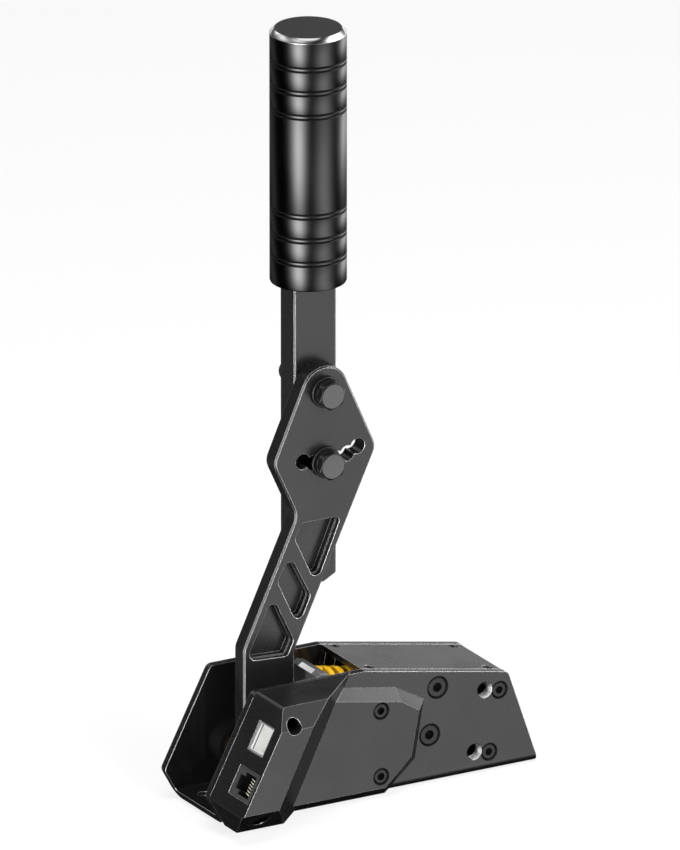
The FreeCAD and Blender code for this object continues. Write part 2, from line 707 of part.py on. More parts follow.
def build_top_cover():
    """The flat lid between the walls, flush with their falling edges."""
    body = new_body("cover_plate")
    drop = SZ.cover_thickness / cosine(SZ.roof_slope)
    half = INNER_HALF - SZ.cover_gap
    section = [
        (SZ.cover_front_x, roof(SZ.cover_front_x)),
        (SZ.cover_rear_x, roof(SZ.cover_rear_x)),
        (SZ.cover_rear_x, roof(SZ.cover_rear_x) - drop),
        (SZ.cover_front_x, roof(SZ.cover_front_x) - drop),
    ]
    pad(body, draw_outline(new_sketch(body, "cover_section", "XZ_Plane", -half), section), half * 2, "lid")
    tools = []
    for number, (x, y) in enumerate(COVER_SCREWS, start=1):
        bore = SZ.cover_screw_radius + SZ.seat_gap / 2
        seat = SZ.cover_head_radius + SZ.seat_gap
        for name, radius, start in (("bore", bore, -2 * SZ.cover_thickness), ("seat", seat, -SZ.cover_head)):
            tools.append(cylinder(f"cover_{name}_{number}", radius, 1 - start, over_roof(x, y, start), SLOPED))
    node(without("top_cover", body, joined("cover_hole_tools", tools)), "top_cover")
    screws = [
        screw(
            f"cover_screw_{number}",
            (x, y, roof(x)),
            SLOPED,
            SZ.cover_head_radius,
            SZ.cover_head,
            SZ.cover_screw_radius,
            SZ.cover_screw_length,
            SZ.cover_socket,
        )
        for number, (x, y) in enumerate(COVER_SCREWS, start=1)
    ]
    group("cover_screws", screws)


def build_cover_tabs():
    """Two small tapped lugs on the walls that carry the cover's front screws."""
    long = SZ.cover_screw_radius * 7.2
    high = SZ.cover_screw_radius * 4.8
    clear = 0.5
    wide = INNER_HALF - SZ.spring_radius - clear
    x = SZ.cover_screw_front_x
    tabs = []
    for name, side, start in (("near", -1, -INNER_HALF), ("far", 1, INNER_HALF - wide)):
        corner = over_roof(x, start, -high - SZ.cover_thickness, long / -2)
        blank = box(f"{name}_tab_blank", long, wide, high, corner, SLOPED)
        deep = high * 2
        foot = over_roof(x, SZ.cover_screw_side * side, -deep)
        bore = cylinder(f"{name}_tab_bore", SZ.cover_screw_radius, deep, foot, SLOPED)
        tabs.append(without(f"{name}_cover_tab", blank, bore))
    group("cover_tabs", tabs)


def build_spring_block():
    """The cross block behind the spring, its bronze guide bush and its four screws."""
    low = SZ.block_screw_pitch * -0.5 - SZ.block_screw_radius * 2.4
    high = SZ.block_screw_pitch * 0.5 + SZ.block_screw_radius * 1.6
    half = INNER_HALF
    corner_x, corner_z = on_axis(BLOCK_FRONT, low)
    blank = box("spring_block_blank", SZ.block_thickness, half * 2, high - low, (corner_x, -half, corner_z), SLOPED)
    tools = [along_spring("spring_block_bore", SZ.guide_bush_radius, SZ.block_thickness + 2, BLOCK_FRONT - 1)]
    for number, (x, z) in enumerate(BLOCK_SCREWS, start=1):
        thread = (x, half + 1, z)
        tools.append(cylinder(f"spring_block_thread_{number}", SZ.block_screw_radius, half * 2 + 2, thread, NEAR_SIDE))
    node(without("spring_block", blank, joined("spring_block_tools", tools)), "spring_block")
    outer = along_spring("guide_bush_blank", SZ.guide_bush_radius, SZ.block_thickness, BLOCK_FRONT)
    inner = along_spring("guide_bush_bore", SZ.rod_radius + SZ.running_gap, SZ.block_thickness + 2, BLOCK_FRONT - 1)
    node(without("guide_bush", outer, inner), "guide_bush")
    sizes = (
        SZ.block_head_radius,
        SZ.block_head,
        SZ.block_screw_radius,
        SZ.block_screw_length,
        SZ.block_socket,
    )
    group("block_screws", wall_screws("block_screw", BLOCK_SCREWS, sizes))


def wall_screws(name, places, sizes):
    """The same screws in both walls."""
    return [
        screw(f"{side}_{name}_{number}", (x, y, z), turns, *sizes)
        for number, (x, z) in enumerate(places, start=1)
        for side, y, turns in (("near", NEAR_HEADS_Y, NEAR_SIDE), ("far", FAR_HEADS_Y, FAR_SIDE))
    ]


def along_spring(name, radius, length, start):
    """A cylinder on the spring's axis."""
    x, z = on_axis(start)
    return cylinder(name, radius, length, (x, 0, z), ((AXIS_Y, SZ.roof_slope + 90),))


def build_rear_block():
    """The machined block that closes the channel's rear and holds the walls apart."""
    body = new_body("rear_wedge")
    half = INNER_HALF
    ceiling = SZ.cover_thickness / cosine(SZ.roof_slope)
    back = SZ.rear_recess / cosine(SZ.rear_slant)
    low_z = SZ.sheet
    front_low = SZ.mount_low_x + (low_z - SZ.mount_low_z) * tangent(SZ.roof_slope) - SZ.rear_block_ahead
    top_front_x = SZ.mount_low_x + MOUNT_PITCH * sine(SZ.roof_slope) - SZ.rear_block_ahead * 0.82
    rear_low = REAR_X - back - low_z * tangent(SZ.rear_slant)
    falls = tangent(SZ.roof_slope)
    leans = tangent(SZ.rear_slant)
    top_rear_z = (roof(REAR_X - back) - ceiling) / (1 - falls * leans)
    outline = [
        (front_low, low_z),
        (rear_low, low_z),
        (REAR_X - back - top_rear_z * leans, top_rear_z),
        (top_front_x, roof(top_front_x) - ceiling),
    ]
    pad(body, draw_outline(new_sketch(body, "rear_section", "XZ_Plane", -half), outline), half * 2, "wedge")
    bottom = [VECTOR(SZ.mount_low_x.value, (half * side).value, low_z.value) for side in (-1, 1)]
    round_edges(body, edges_at(body.Shape, bottom, AXIS_X), SZ.bend_radius - SZ.sheet + 0.1, "bend_relief")
    over = 1.0
    across = half * 2 + 2 * over
    side_holes(body, "mount_bores", MOUNT_HOLES, SZ.mount_radius, -half - over, across)
    deep = SZ.rear_screw_length + over
    side_holes(body, "near_threads", REAR_SCREWS, SZ.rear_screw_radius, -half - over, deep)
    side_holes(body, "far_threads", REAR_SCREWS, SZ.rear_screw_radius, half + over, deep, towards_plus_y=False)
    down = SZ.cover_head + SZ.cover_screw_length + 2.2
    threads = [
        cylinder(f"rear_cover_thread_{number}", SZ.cover_screw_radius, down, over_roof(x, y, -down), SLOPED)
        for number, (x, y) in enumerate(COVER_SCREWS[2:], start=1)
    ]
    node(without("rear_block_finished", body, joined("rear_cover_threads", threads)), "rear_block")
    sizes = (SZ.rear_head_radius, SZ.rear_head, SZ.rear_screw_radius, SZ.rear_screw_length, SZ.rear_socket)
    group("rear_screws", wall_screws("rear_screw", REAR_SCREWS, sizes))


def build_plunger():
    """The spring seat: a round nose, a flange, a boss inside the coil and a guided rod."""
    rod_end = BLOCK_FRONT + SZ.block_thickness + 2.7
    groove = BLOCK_FRONT + SZ.block_thickness + 0.6
    seat = SZ.seat_thickness
    boss_end = seat + SZ.boss_length
    profile = [
        (-SZ.nose_radius, 0),
        (-SZ.nose_radius, SZ.nose_radius, SZ.nose_radius * 0.999),
        (0, SZ.nose_radius),
        (0, SZ.seat_radius),
        (seat, SZ.seat_radius),
        (seat, SZ.boss_radius),
        (boss_end - 1, SZ.boss_radius),
        (boss_end, SZ.boss_radius - 1),
        (boss_end, SZ.rod_radius),
        (groove, SZ.rod_radius),
        (groove, SZ.rod_radius - 0.8),
        (groove + 1.1, SZ.rod_radius - 0.8),
        (groove + 1.1, SZ.rod_radius),
        (rod_end - 0.5, SZ.rod_radius),
        (rod_end, SZ.rod_radius - 0.5),
        (rod_end, 0),
    ]
    turned = revolved("plunger_turned", profile, about="H_Axis")
    plate = new_body("pressure_plate")
    front = -SZ.plate_ahead
    bevel = SZ.plate_bevel
    section = [
        (front, SZ.plate_above - bevel),
        (front + bevel, SZ.plate_above),
        (seat - 1, SZ.plate_above),
        (seat - 1, -SZ.plate_below),
        (front + bevel, -SZ.plate_below),
        (front, -SZ.plate_below + bevel),
    ]
    sketch = draw_outline(new_sketch(plate, "plate_section", "XZ_Plane", -SZ.plate_width / 2), section)
    pad(plate, sketch, SZ.plate_width, "plate_block")
    body = joined("plunger_solid", [turned, plate])
    place(body, (NOSE_X, 0, NOSE_Z), SLOPED)
    node(body, "plunger")
    x, z = on_axis(groove + 0.05)
    ring = cylinder("clip_blank", SZ.rod_radius + 2.2, 1.0, (x, 0, z), ((AXIS_Y, SZ.roof_slope + 90),))
    bore = along_spring("clip_bore", SZ.rod_radius - 0.8, 3, groove - 1)
    mouth_x, mouth_z = on_axis(groove - 1, -SZ.rod_radius - 4)
    mouth = box("clip_mouth", 3, 5.0, SZ.rod_radius + 4, (mouth_x, -2.5, mouth_z), SLOPED)
    node(without("rod_clip", ring, joined("clip_tools", [bore, mouth])), "rod_clip")


def build_bump_stop():
    """The rubber buffer round the rod that ends the stroke."""
    front = SZ.seat_thickness + SZ.boss_length + SZ.travel + 0.3
    length = BLOCK_FRONT - front
    ribs = 3
    profile = [(front, SZ.bump_bore), (BLOCK_FRONT, SZ.bump_bore), (BLOCK_FRONT, SZ.bump_radius)]
    step = length / ribs
    waist = 1.2
    for rib in range(ribs, 0, -1):
        if rib < ribs:
            profile.append((front + step * rib + 1.5, SZ.bump_radius))
            profile.append((front + step * rib, SZ.bump_radius - waist))
            profile.append((front + step * rib - 1.5, SZ.bump_radius))
    profile.append((front, SZ.bump_radius))
    body = revolved("bump_stop", profile, about="H_Axis")
    place(body, (NOSE_X, 0, NOSE_Z), SLOPED)
    node(body, "bump_stop")


def biarc(start, leave, finish, arrive):
    """Two arcs that join two points with given directions, meeting tangentially half way."""
    chord = finish - start
    both = leave + arrive
    a = both.dot(both) - 4
    b = -2 * chord.dot(both)
    c = chord.dot(chord)
    reach = (-b - math.sqrt(b * b - 4 * a * c)) / (2 * a)
    first = start + leave * reach
    second = finish - arrive * reach
    middle = (first + second) * 0.5
    arcs = []
    for begin, control, end in ((start, first, middle), (middle, second, finish)):
        half_chord = (end - begin) * 0.5
        centre = begin + half_chord
        angle = (control - begin).getAngle(half_chord)
        crown = centre + (control - centre) * (math.tan(angle / 2) / math.tan(angle))
        arcs.append(Part.Arc(begin, crown, end).toShape())
    return arcs


def build_spring():
    """A die spring of flat wire with closed ends, one unbroken sweep along its helix."""
    length = (BLOCK_FRONT - SZ.seat_thickness).value
    wide, high = SZ.wire_width.value, SZ.wire_height.value
    mean = SZ.spring_radius.value - wide / 2
    end_pitch = SZ.end_pitch.value
    gap = 0.1
    rise = length - high - 2 * gap
    active = max(2, round((rise - 2 * end_pitch) / 5.3))
    pitch = (rise - 2 * end_pitch) / active
    turns = active + 2

    def height(turn):
        if turn < 1:
            return end_pitch * turn
        if turn > turns - 1:
            return rise - end_pitch * (turns - turn)
        return end_pitch + pitch * (turn - 1)

    def point(turn):
        angle = 2 * math.pi * turn
        return VECTOR(height(turn), mean * math.sin(angle), mean * math.cos(angle))

    def direction(turn):
        tiny = 1e-3
        low, high_turn = max(0, turn - tiny), min(turns, turn + tiny)
        slope = (height(high_turn) - height(low)) / (high_turn - low)
        angle = 2 * math.pi * turn
        around = 2 * math.pi * mean
        return VECTOR(slope, around * math.cos(angle), -around * math.sin(angle)).normalize()

    edges = []
    stops = [index / 2 for index in range(2 * turns + 1)]
    for begin, end in zip(stops, stops[1:]):
        edges += biarc(point(begin), direction(begin), point(end), direction(end))
    path = Part.Wire(edges)
    start, along = point(0), direction(0)
    outward = AXIS_Z
    upward = along.cross(outward).normalize()
    corners = [
        start + outward * (wide / 2 * a) + upward * (high / 2 * b)
        for a, b in ((-1, -1), (1, -1), (1, 1), (-1, 1), (-1, -1))
    ]
    shell = Part.BRepOffsetAPI.MakePipeShell(path)
    shell.add(Part.Wire(Part.makePolygon(corners)))
    shell.build()
    shell.makeSolid()
    solid = shell.shape()
    samples = path.discretize(Number=turns * 60)
    least = min(
        (a - b).Length
        for index, a in enumerate(samples[::3])
        for b in samples[index * 3 + 40::3]
    )
    print("spring: turns", turns, "pitch", round(pitch, 2), "least gap to itself", round(least - high, 2))
    print("spring: volume over section times length", round(solid.Volume / (wide * high * path.Length), 3))
    clear = 0.05
    first = -high / 2 - gap + clear
    ground = Part.makeCylinder(mean + wide, length - 2 * clear, VECTOR(first, 0, 0), AXIS_X)
    feature = DOCUMENT.addObject("Part::Feature", "spring")
    feature.Shape = solid.common(ground)
    along_start = SZ.seat_thickness + SZ.wire_height / 2 + gap
    x, z = on_axis(along_start)
    place(feature, (x, 0, z), SLOPED)
    node(feature, "spring")


def build_pivot():
    """The lever's shaft, its flanged bushes in the walls and the sleeves beside the plate."""
    flange_in = INNER_HALF - SZ.bush_flange
    bushes = []
    for name, side in (("near", -1), ("far", 1)):
        turns = NEAR_SIDE if side < 0 else FAR_SIDE
        # local Z points outwards from the middle
        body = revolved(
            f"{name}_bush",
            [
                (SZ.shaft_radius + SZ.running_gap, flange_in),
                (SZ.bush_flange_radius, flange_in),
                (SZ.bush_flange_radius, INNER_HALF),
                (SZ.bush_radius, INNER_HALF),
                (SZ.bush_radius, HALF_WIDTH),
                (SZ.shaft_radius + SZ.running_gap, HALF_WIDTH),
            ],
        )
        place(body, (SZ.pivot_x, 0, SZ.pivot_height), turns)
        bushes.append(body)
    group("pivot_bushes", bushes)
    sleeves = []
    for name, turns in (("near", NEAR_SIDE), ("far", FAR_SIDE)):
        body = revolved(
            f"{name}_sleeve",
            [
                (SZ.shaft_radius, ARM_HALF),
                (SZ.sleeve_radius, ARM_HALF),
                (SZ.sleeve_radius, flange_in - SZ.side_gap - SZ.sleeve_bevel),
                (SZ.sleeve_radius - SZ.sleeve_bevel, flange_in - SZ.side_gap),
                (SZ.shaft_radius, flange_in - SZ.side_gap),
            ],
        )
        place(body, (SZ.pivot_x, 0, SZ.pivot_height), turns)
        sleeves.append(body)
    group("hub_sleeves", sleeves)
    head_start = HALF_WIDTH + SZ.side_gap
    shaft = revolved(
        "shaft_blank",
        [
            (0, -SHAFT_END + SZ.magnet_depth),
            (SZ.magnet_radius, -SHAFT_END + SZ.magnet_depth),
            (SZ.magnet_radius, -SHAFT_END),
            (SZ.shaft_radius, -SHAFT_END),
            (SZ.shaft_radius, head_start),
            (SZ.shaft_head_radius, head_start),
            (SZ.shaft_head_radius, head_start + SZ.shaft_head * 0.6),
            (SZ.shaft_head_radius - SZ.shaft_head * 0.4, head_start + SZ.shaft_head),
            (0, head_start + SZ.shaft_head),
        ],
    )
    recess = hexagon("shaft_recess", SZ.shaft_radius, SZ.shaft_head, (0, 0, head_start + SZ.shaft_head * 0.2))
    finished = without("shaft_finished", shaft, recess)
    place(finished, (SZ.pivot_x, 0, SZ.pivot_height), FAR_SIDE)
    node(finished, "pivot_shaft")
    magnet = cylinder(
        "magnet",
        SZ.magnet_radius,
        SZ.magnet_depth + SZ.magnet_proud,
        (SZ.pivot_x, -SHAFT_END + SZ.magnet_depth, SZ.pivot_height),
        NEAR_SIDE,
    )
    node(magnet, "angle_magnet")


ARM_TOP_HALF_ANGLE = math.degrees(
    math.atan2(SZ.shoulder_reach.value, SZ.shoulder_drop.value)
) - math.degrees(math.asin(SZ.head_round.value / math.hypot(SZ.shoulder_reach.value, SZ.shoulder_drop.value)))


def build_arm():
    """The lever plate: a leaning shank, a diamond head, three pockets and the lobed lock slot."""
    body = new_body("arm_plate")
    shoulder_z = SZ.tilt_height - SZ.shoulder_drop
    apex_z = SZ.tilt_height + SZ.head_round / math.sin(math.radians(ARM_TOP_HALF_ANGLE))
    right_x = SZ.tilt_x + SZ.shoulder_reach
    left_x = SZ.tilt_x - SZ.shoulder_reach
    knee_z = shoulder_z - (right_x - ARM_REAR_X) / tangent(SZ.arm_lean)
    heel_z = SZ.pivot_height - SZ.arm_foot_width / 2
    neck_x = SZ.tilt_x - SZ.neck_reach
    neck_z = SZ.tilt_height - SZ.neck_drop
    front_knee_z = neck_z - (neck_x - ARM_FRONT_X) / tangent(SZ.arm_lean)
    outline = [
        (SZ.tilt_x, apex_z, SZ.head_round),
        (right_x, shoulder_z, SZ.shoulder_round),
        (ARM_REAR_X, knee_z, 8),
        (ARM_REAR_X, heel_z, SZ.arm_foot_width / 2 - 0.01),
        (SZ.pivot_x - 2.2, heel_z),
        (SZ.pivot_x - 5, SZ.sheet + 4.5),
        (ARM_FRONT_X, SZ.sheet + 4.5, 1.0),
        (ARM_FRONT_X, front_knee_z, 5),
        (neck_x, neck_z, 8),
        (left_x, shoulder_z, SZ.shoulder_round),
    ]
    sketch = draw_outline(new_sketch(body, "arm_outline", "XZ_Plane", -ARM_HALF), outline)
    pad(body, sketch, SZ.arm_thickness, "plate")
    rims = [
        f"Edge{number}"
        for number, edge in enumerate(body.Shape.Edges, start=1)
        if edge.BoundBox.YLength < 1e-6
    ]
    round_edges(body, rims, SZ.arm_bevel, "bevel", kind="PartDesign::Chamfer")
    # each pocket's corners: distance behind and below the tilt bolt, and rounding
    pockets = {
        "upper_pocket": [(-11.0, 55.7, 2.5), (7.7, 56.0, 2), (-4.3, 84.2, 2.8), (-14.4, 62.3, 3)],
        "middle_pocket": [(-16.75, 68.7, 2.8), (-6.9, 88.3, 3), (-12.7, 101.4, 2.8), (-22.7, 79.7, 3)],
        "lower_pocket": [(-25.0, 85.3, 2.8), (-14.9, 106.8, 2.5), (-17.9, 113.2, 2), (-37.5, 112.1, 3)],
    }
    for name, places in pockets.items():
        corners = [(SZ.tilt_x + behind, SZ.tilt_height - below, radius) for behind, below, radius in places]
        inner = inset_outline(corners, SZ.ledge_width)
        for part, outline, depth in (("ledge", corners, SZ.ledge_depth), ("floor", inner, SZ.pocket_depth)):
            sketch = draw_outline(new_sketch(body, f"{name}_{part}_sketch", "XZ_Plane", ARM_HALF), outline)
            cut(body, sketch, depth, f"{name}_{part}")
    side_holes(body, "shaft_hole", [(SZ.pivot_x, SZ.pivot_height)], SZ.shaft_radius, -ARM_HALF - 1, SZ.arm_thickness + 2)
    tilt_hole = SZ.bolt_radius + SZ.running_gap
    side_holes(body, "tilt_hole", [(SZ.tilt_x, SZ.tilt_height)], tilt_hole, -ARM_HALF - 1, SZ.arm_thickness + 2)
    slot = lock_slot()
    node(without("arm_finished", body, slot), "lever_arm")


def lock_slot():
    """Six round seats on an arc about the tilt bolt, joined by a narrower curved way."""
    deep = SZ.arm_thickness + 2
    start_y = ARM_HALF + 1
    centre = (SZ.tilt_x, start_y, SZ.tilt_height)
    outer = cylinder("slot_outer", SZ.lock_drop + SZ.slot_half_width, deep, centre)
    inner = cylinder("slot_inner", SZ.lock_drop - SZ.slot_half_width, deep + 2, (SZ.tilt_x, start_y + 1, SZ.tilt_height))
    bind(outer, "Angle", SZ.lobe_step * 5)
    steps = (-2, -1, 0, 1, 2, 3)
    first_angle = -90 + steps[0] * SZ.lobe_step.value
    outer.Placement.Rotation = FreeCAD.Rotation(AXIS_X, 90).multiply(FreeCAD.Rotation(AXIS_Z, first_angle))
    inner.Placement.Rotation = FreeCAD.Rotation(AXIS_X, 90)
    way = without("slot_way", outer, inner)
    seats = [
        cylinder(
            f"slot_seat_{number}",
            SZ.lobe_radius,
            deep,
            (
                SZ.tilt_x + SZ.lock_drop * sine(SZ.lobe_step * step),
                start_y,
                SZ.tilt_height - SZ.lock_drop * cosine(SZ.lobe_step * step),
            ),
            NEAR_SIDE,
        )
        for number, step in enumerate(steps, start=1)
    ]
    return joined("lock_slot", [way] + seats)


def build_rest_pad():
    """The rubber pad on the floor that the lever's heel rests on."""
    half = ARM_HALF - SZ.pad_inset
    corner = (SZ.pivot_x - SZ.pad_ahead, -half, SZ.sheet)
    pad_box = box("heel_pad", SZ.pad_length, half * 2, SZ.pad_height, corner)
    node(pad_box, "rest_pad")


def build_handle_bar():
    """The flat bar that tilts on the lever plate and carries the grip."""
    body = new_body("bar_body")
    near = ARM_HALF + SZ.face_gap
    half = SZ.bar_width / 2
    outline = [
        (SZ.tilt_x - half, SZ.grip_bottom),
        (SZ.tilt_x - half, SZ.bar_bottom + SZ.bar_toe_rise),
        (SZ.tilt_x - half + SZ.bar_toe_run, SZ.bar_bottom),
        (SZ.tilt_x + half - SZ.bar_toe_run, SZ.bar_bottom),
        (SZ.tilt_x + half, SZ.bar_bottom + SZ.bar_toe_rise),
        (SZ.tilt_x + half, SZ.grip_bottom),
    ]
    sketch = draw_outline(new_sketch(body, "bar_outline", "XZ_Plane", -near - SZ.bar_depth), outline)
    pad(body, sketch, SZ.bar_depth, "bar")
    long_edges = edges_at(
        body.Shape,
        [
            VECTOR((SZ.tilt_x + half * side).value, y, SZ.tilt_height.value)
            for side in (-1, 1)
            for y in (near.value, (near + SZ.bar_depth).value)
        ],
        AXIS_Z,
    )
    round_edges(body, long_edges, SZ.bar_bevel, "bar_bevel", kind="PartDesign::Chamfer")
    for name, radius, drop in (("tilt_bore", SZ.bolt_radius, 0), ("lock_bore", SZ.lock_radius, SZ.lock_drop)):
        side_holes(
            body,
            name,
            [(SZ.tilt_x, SZ.tilt_height - drop)],
            radius + SZ.running_gap,
            near - 1,
            SZ.bar_depth + 2,
        )
    stud = new_sketch(body, "stud_sketch", "XY_Plane", SZ.grip_bottom)
    draw_circles(stud, [(SZ.tilt_x, near + SZ.bar_depth / 2)], SZ.stud_radius)
    cut(body, stud, SZ.stud_in_bar + SZ.stud_end_gap, "stud_bore")
    node(body, "handle_bar")


def build_grip():
    """The turned grip with its bright bevel and three pairs of fine rings at each end."""
    centre_y = ARM_HALF + SZ.face_gap + SZ.bar_depth / 2
    profile = [
        (0, 0),
        (SZ.grip_radius - 0.6, 0),
        (SZ.grip_radius, 0.6),
        (SZ.grip_radius, SZ.grip_length - SZ.grip_bevel * 1.25),
        (SZ.grip_radius - SZ.grip_bevel, SZ.grip_length),
        (0, SZ.grip_length),
    ]
    body = revolved("grip", profile)
    half_notch = 0.5
    for number, drop in enumerate((13.4, 23.7, 34.0, 77.5, 87.9, 98.1), start=1):
        sketch = new_sketch(body, f"ring_sketch_{number}", "XZ_Plane", 0)
        for side in (-0.5, 0.5):
            level = SZ.grip_length - drop + SZ.notch_spacing * side
            draw_outline(
                sketch,
                [
                    (SZ.grip_radius + 1, level - half_notch * 2),
                    (SZ.grip_radius + 1, level + half_notch * 2),
                    (SZ.grip_radius - SZ.notch_depth, level + 0.1),
                    (SZ.grip_radius - SZ.notch_depth, level - 0.1),
                ],
            )
        before = body.Shape.Volume
        ring = body.newObject("PartDesign::Groove", f"ring_{number}")
        ring.Profile = sketch
        ring.ReferenceAxis = (sketch, ["V_Axis"])
        ring.Angle = 360
        DOCUMENT.recompute()
        if not ring.Shape.Volume < before - 1e-6:
            raise ValueError("a ring takes nothing away")
    socket = new_sketch(body, "socket_sketch", "XY_Plane", 0)
    draw_circles(socket, [(0, 0)], SZ.stud_radius)
    cut(body, socket, SZ.stud_in_grip + SZ.stud_end_gap, "socket", along_normal=True)
    place(body, (SZ.tilt_x, centre_y, SZ.grip_bottom))
    node(body, "grip")
    stud_foot = (SZ.tilt_x, centre_y, SZ.grip_bottom - SZ.stud_in_bar)
    stud = cylinder("stud", SZ.stud_radius, SZ.stud_in_bar + SZ.stud_in_grip, stud_foot)
    node(stud, "grip_stud")


def build_bolt(name, drop, shank_radius):
    """A hexagon bolt across the lever plate and the bar, with its washers and its lock nut."""
    x, z = SZ.tilt_x, SZ.tilt_height - drop
    near_face = -ARM_HALF - SZ.face_gap
    far_face = ARM_HALF + SZ.face_gap + SZ.bar_depth
    head_top = near_face - SZ.washer - SZ.spring_washer - SZ.bolt_head
    shank_end = far_face + SZ.washer + SZ.nut_height - 0.5
    bevel = 0.5
    pieces = [
        hexagon(f"{name}_hexagon", SZ.bolt_flats, SZ.bolt_head - bevel, (0, 0, -SZ.bolt_head)),
        cylinder(f"{name}_face", SZ.bolt_flats / 2 - 0.3, bevel, (0, 0, -bevel)),
        cylinder(f"{name}_shank", shank_radius, shank_end - head_top - SZ.bolt_head, (0, 0, head_top - shank_end)),
    ]
    bolt = joined(f"{name}_bolt_solid", pieces)
    place(bolt, (x, head_top, z), NEAR_SIDE)
    node(bolt, f"{name}_bolt")
    washers = []
    for label, radius, thick, y in (
        ("near_plain", SZ.washer_radius, SZ.washer, near_face),
        ("near_split", SZ.spring_washer_radius, SZ.spring_washer, near_face - SZ.washer),
        ("far_plain", SZ.washer_radius, SZ.washer, far_face + SZ.washer),
    ):
        blank = cylinder(f"{name}_{label}_blank", radius, thick, (x, y, z), NEAR_SIDE)
        bore = cylinder(f"{name}_{label}_bore", as_size(shank_radius) + SZ.running_gap, thick + 2, (x, y + 1, z), NEAR_SIDE)
        washers.append(without(f"{name}_{label}_washer", blank, bore))
    group(f"{name}_washers", washers)
    nut_y = far_face + SZ.washer
    dome = DOCUMENT.addObject("Part::Sphere", f"{name}_nut_dome")
    bind(dome, "Radius", SZ.dome_radius)
    place(dome, (0, 0, SZ.nut_height + SZ.dome_rise))
    nut = joined(
        f"{name}_nut_blank",
        [
            hexagon(f"{name}_nut_hexagon", SZ.nut_flats, SZ.nut_height, (0, 0, 0)),
            cylinder(f"{name}_nut_neck", SZ.dome_radius, SZ.nut_height + SZ.dome_rise, (0, 0, 0)),
            dome,
        ],
    )
    bore = cylinder(f"{name}_nut_bore", as_size(shank_radius), SZ.nut_height + 2, (0, 0, -1))
    nut = without(f"{name}_nut_solid", nut, bore)
    place(nut, (x, nut_y, z), FAR_SIDE)
    node(nut, f"{name}_nut")


def facet(reach, z):
    """Place of the pod's rear facet, so far outwards from the wall and so high."""
    inward = SZ.pod_reach - as_size(reach)
    return SZ.facet_x + (as_size(z) - (SZ.top_height - SZ.facet_drop)) * SZ.facet_lean + inward * SZ.facet_run


def trim_pod(body, name, inset=0):
    """Cut the pod's two long chamfers and its slanted rear facet, or their insides."""
    over = 1.0
    inset = as_size(inset)
    outer = -HALF_WIDTH - SZ.pod_reach - over
    low_slope = SZ.pod_low_height / (SZ.pod_reach - SZ.pod_low_reach)
    high_slope = (POD_TOP - (POD_TOP - SZ.pod_high_drop)) / (SZ.pod_reach - SZ.pod_high_reach)
    lift = inset * math.hypot(1, low_slope.value)
    drop = inset * math.hypot(1, high_slope.value)
    shift = inset * math.hypot(1, SZ.facet_lean.value, SZ.facet_run.value)
    lower = [
        (-HALF_WIDTH - SZ.pod_low_reach + over / low_slope, lift - over),
        (-HALF_WIDTH - SZ.pod_low_reach + over / low_slope, -over - 1),
        (outer, -over - 1),
        (outer, SZ.pod_low_height + over * low_slope + lift),
    ]
    upper = [
        (-HALF_WIDTH - SZ.pod_high_reach + over / high_slope, POD_TOP + over - drop),
        (outer, (POD_TOP - SZ.pod_high_drop) - over * high_slope - drop),
        (outer, POD_TOP + over + 1),
        (-HALF_WIDTH - SZ.pod_high_reach + over / high_slope, POD_TOP + over + 1),
    ]
    for part, corners in (("lower", lower), ("upper", upper)):
        sketch = new_sketch(body, f"{name}_{part}_chamfer_sketch", "YZ_Plane", 5)
        cut(body, draw_outline(sketch, corners), 90, f"{name}_{part}_chamfer")
    sections = []
    for part, z in (("low", as_size(-over)), ("high", POD_TOP + over)):
        behind = 60
        outline = [
            (facet(-over, z) - shift, -HALF_WIDTH + over),
            (facet(SZ.pod_reach + over, z) - shift, outer),
            (facet(SZ.pod_reach + over, z) + behind, outer),
            (facet(-over, z) + behind, -HALF_WIDTH + over),
        ]
        sections.append(draw_outline(new_sketch(body, f"{name}_facet_{part}", "XY_Plane", z), outline))
    before = body.Shape.Volume
    loft = body.newObject("PartDesign::SubtractiveLoft", f"{name}_rear_facet")
    loft.Profile = sections[0]
    loft.Sections = [sections[1]]
    loft.Ruled = True
    DOCUMENT.recompute()
    if not loft.Shape.Volume < before - 1e-6:
        raise ValueError("the rear facet takes nothing away")


def below_top(drop):
    """A height, given as a distance below the walls' top."""
    return SZ.top_height - drop


PANEL_FOOT = [
    (-40, below_top(0.9)),
    (10, below_top(9.5)),
    (23.7, below_top(17.1)),
    (19.4, 12.8),
    (5.0, 0.1),
    (-45, 0.1),
]
PANEL_FACE = [
    (-40, below_top(5.6)),
    (10.4, below_top(14.6)),
    (18.8, below_top(20)),
    (15, 15.8),
    (2.7, 4.3),
    (-45, 4.3),
]


def add_panel(body, name, foot, face, foot_reach, face_reach):
    """The flat panel with its sloping rim, as a loft between its foot and its face."""
    low = draw_outline(new_sketch(body, f"{name}_foot", "XZ_Plane", HALF_WIDTH + foot_reach), foot)
    high = draw_outline(new_sketch(body, f"{name}_face", "XZ_Plane", HALF_WIDTH + face_reach), face)
    panel = body.newObject("PartDesign::AdditiveLoft", name)
    panel.Profile = low
    panel.Sections = [high]
    panel.Ruled = True
    DOCUMENT.recompute()


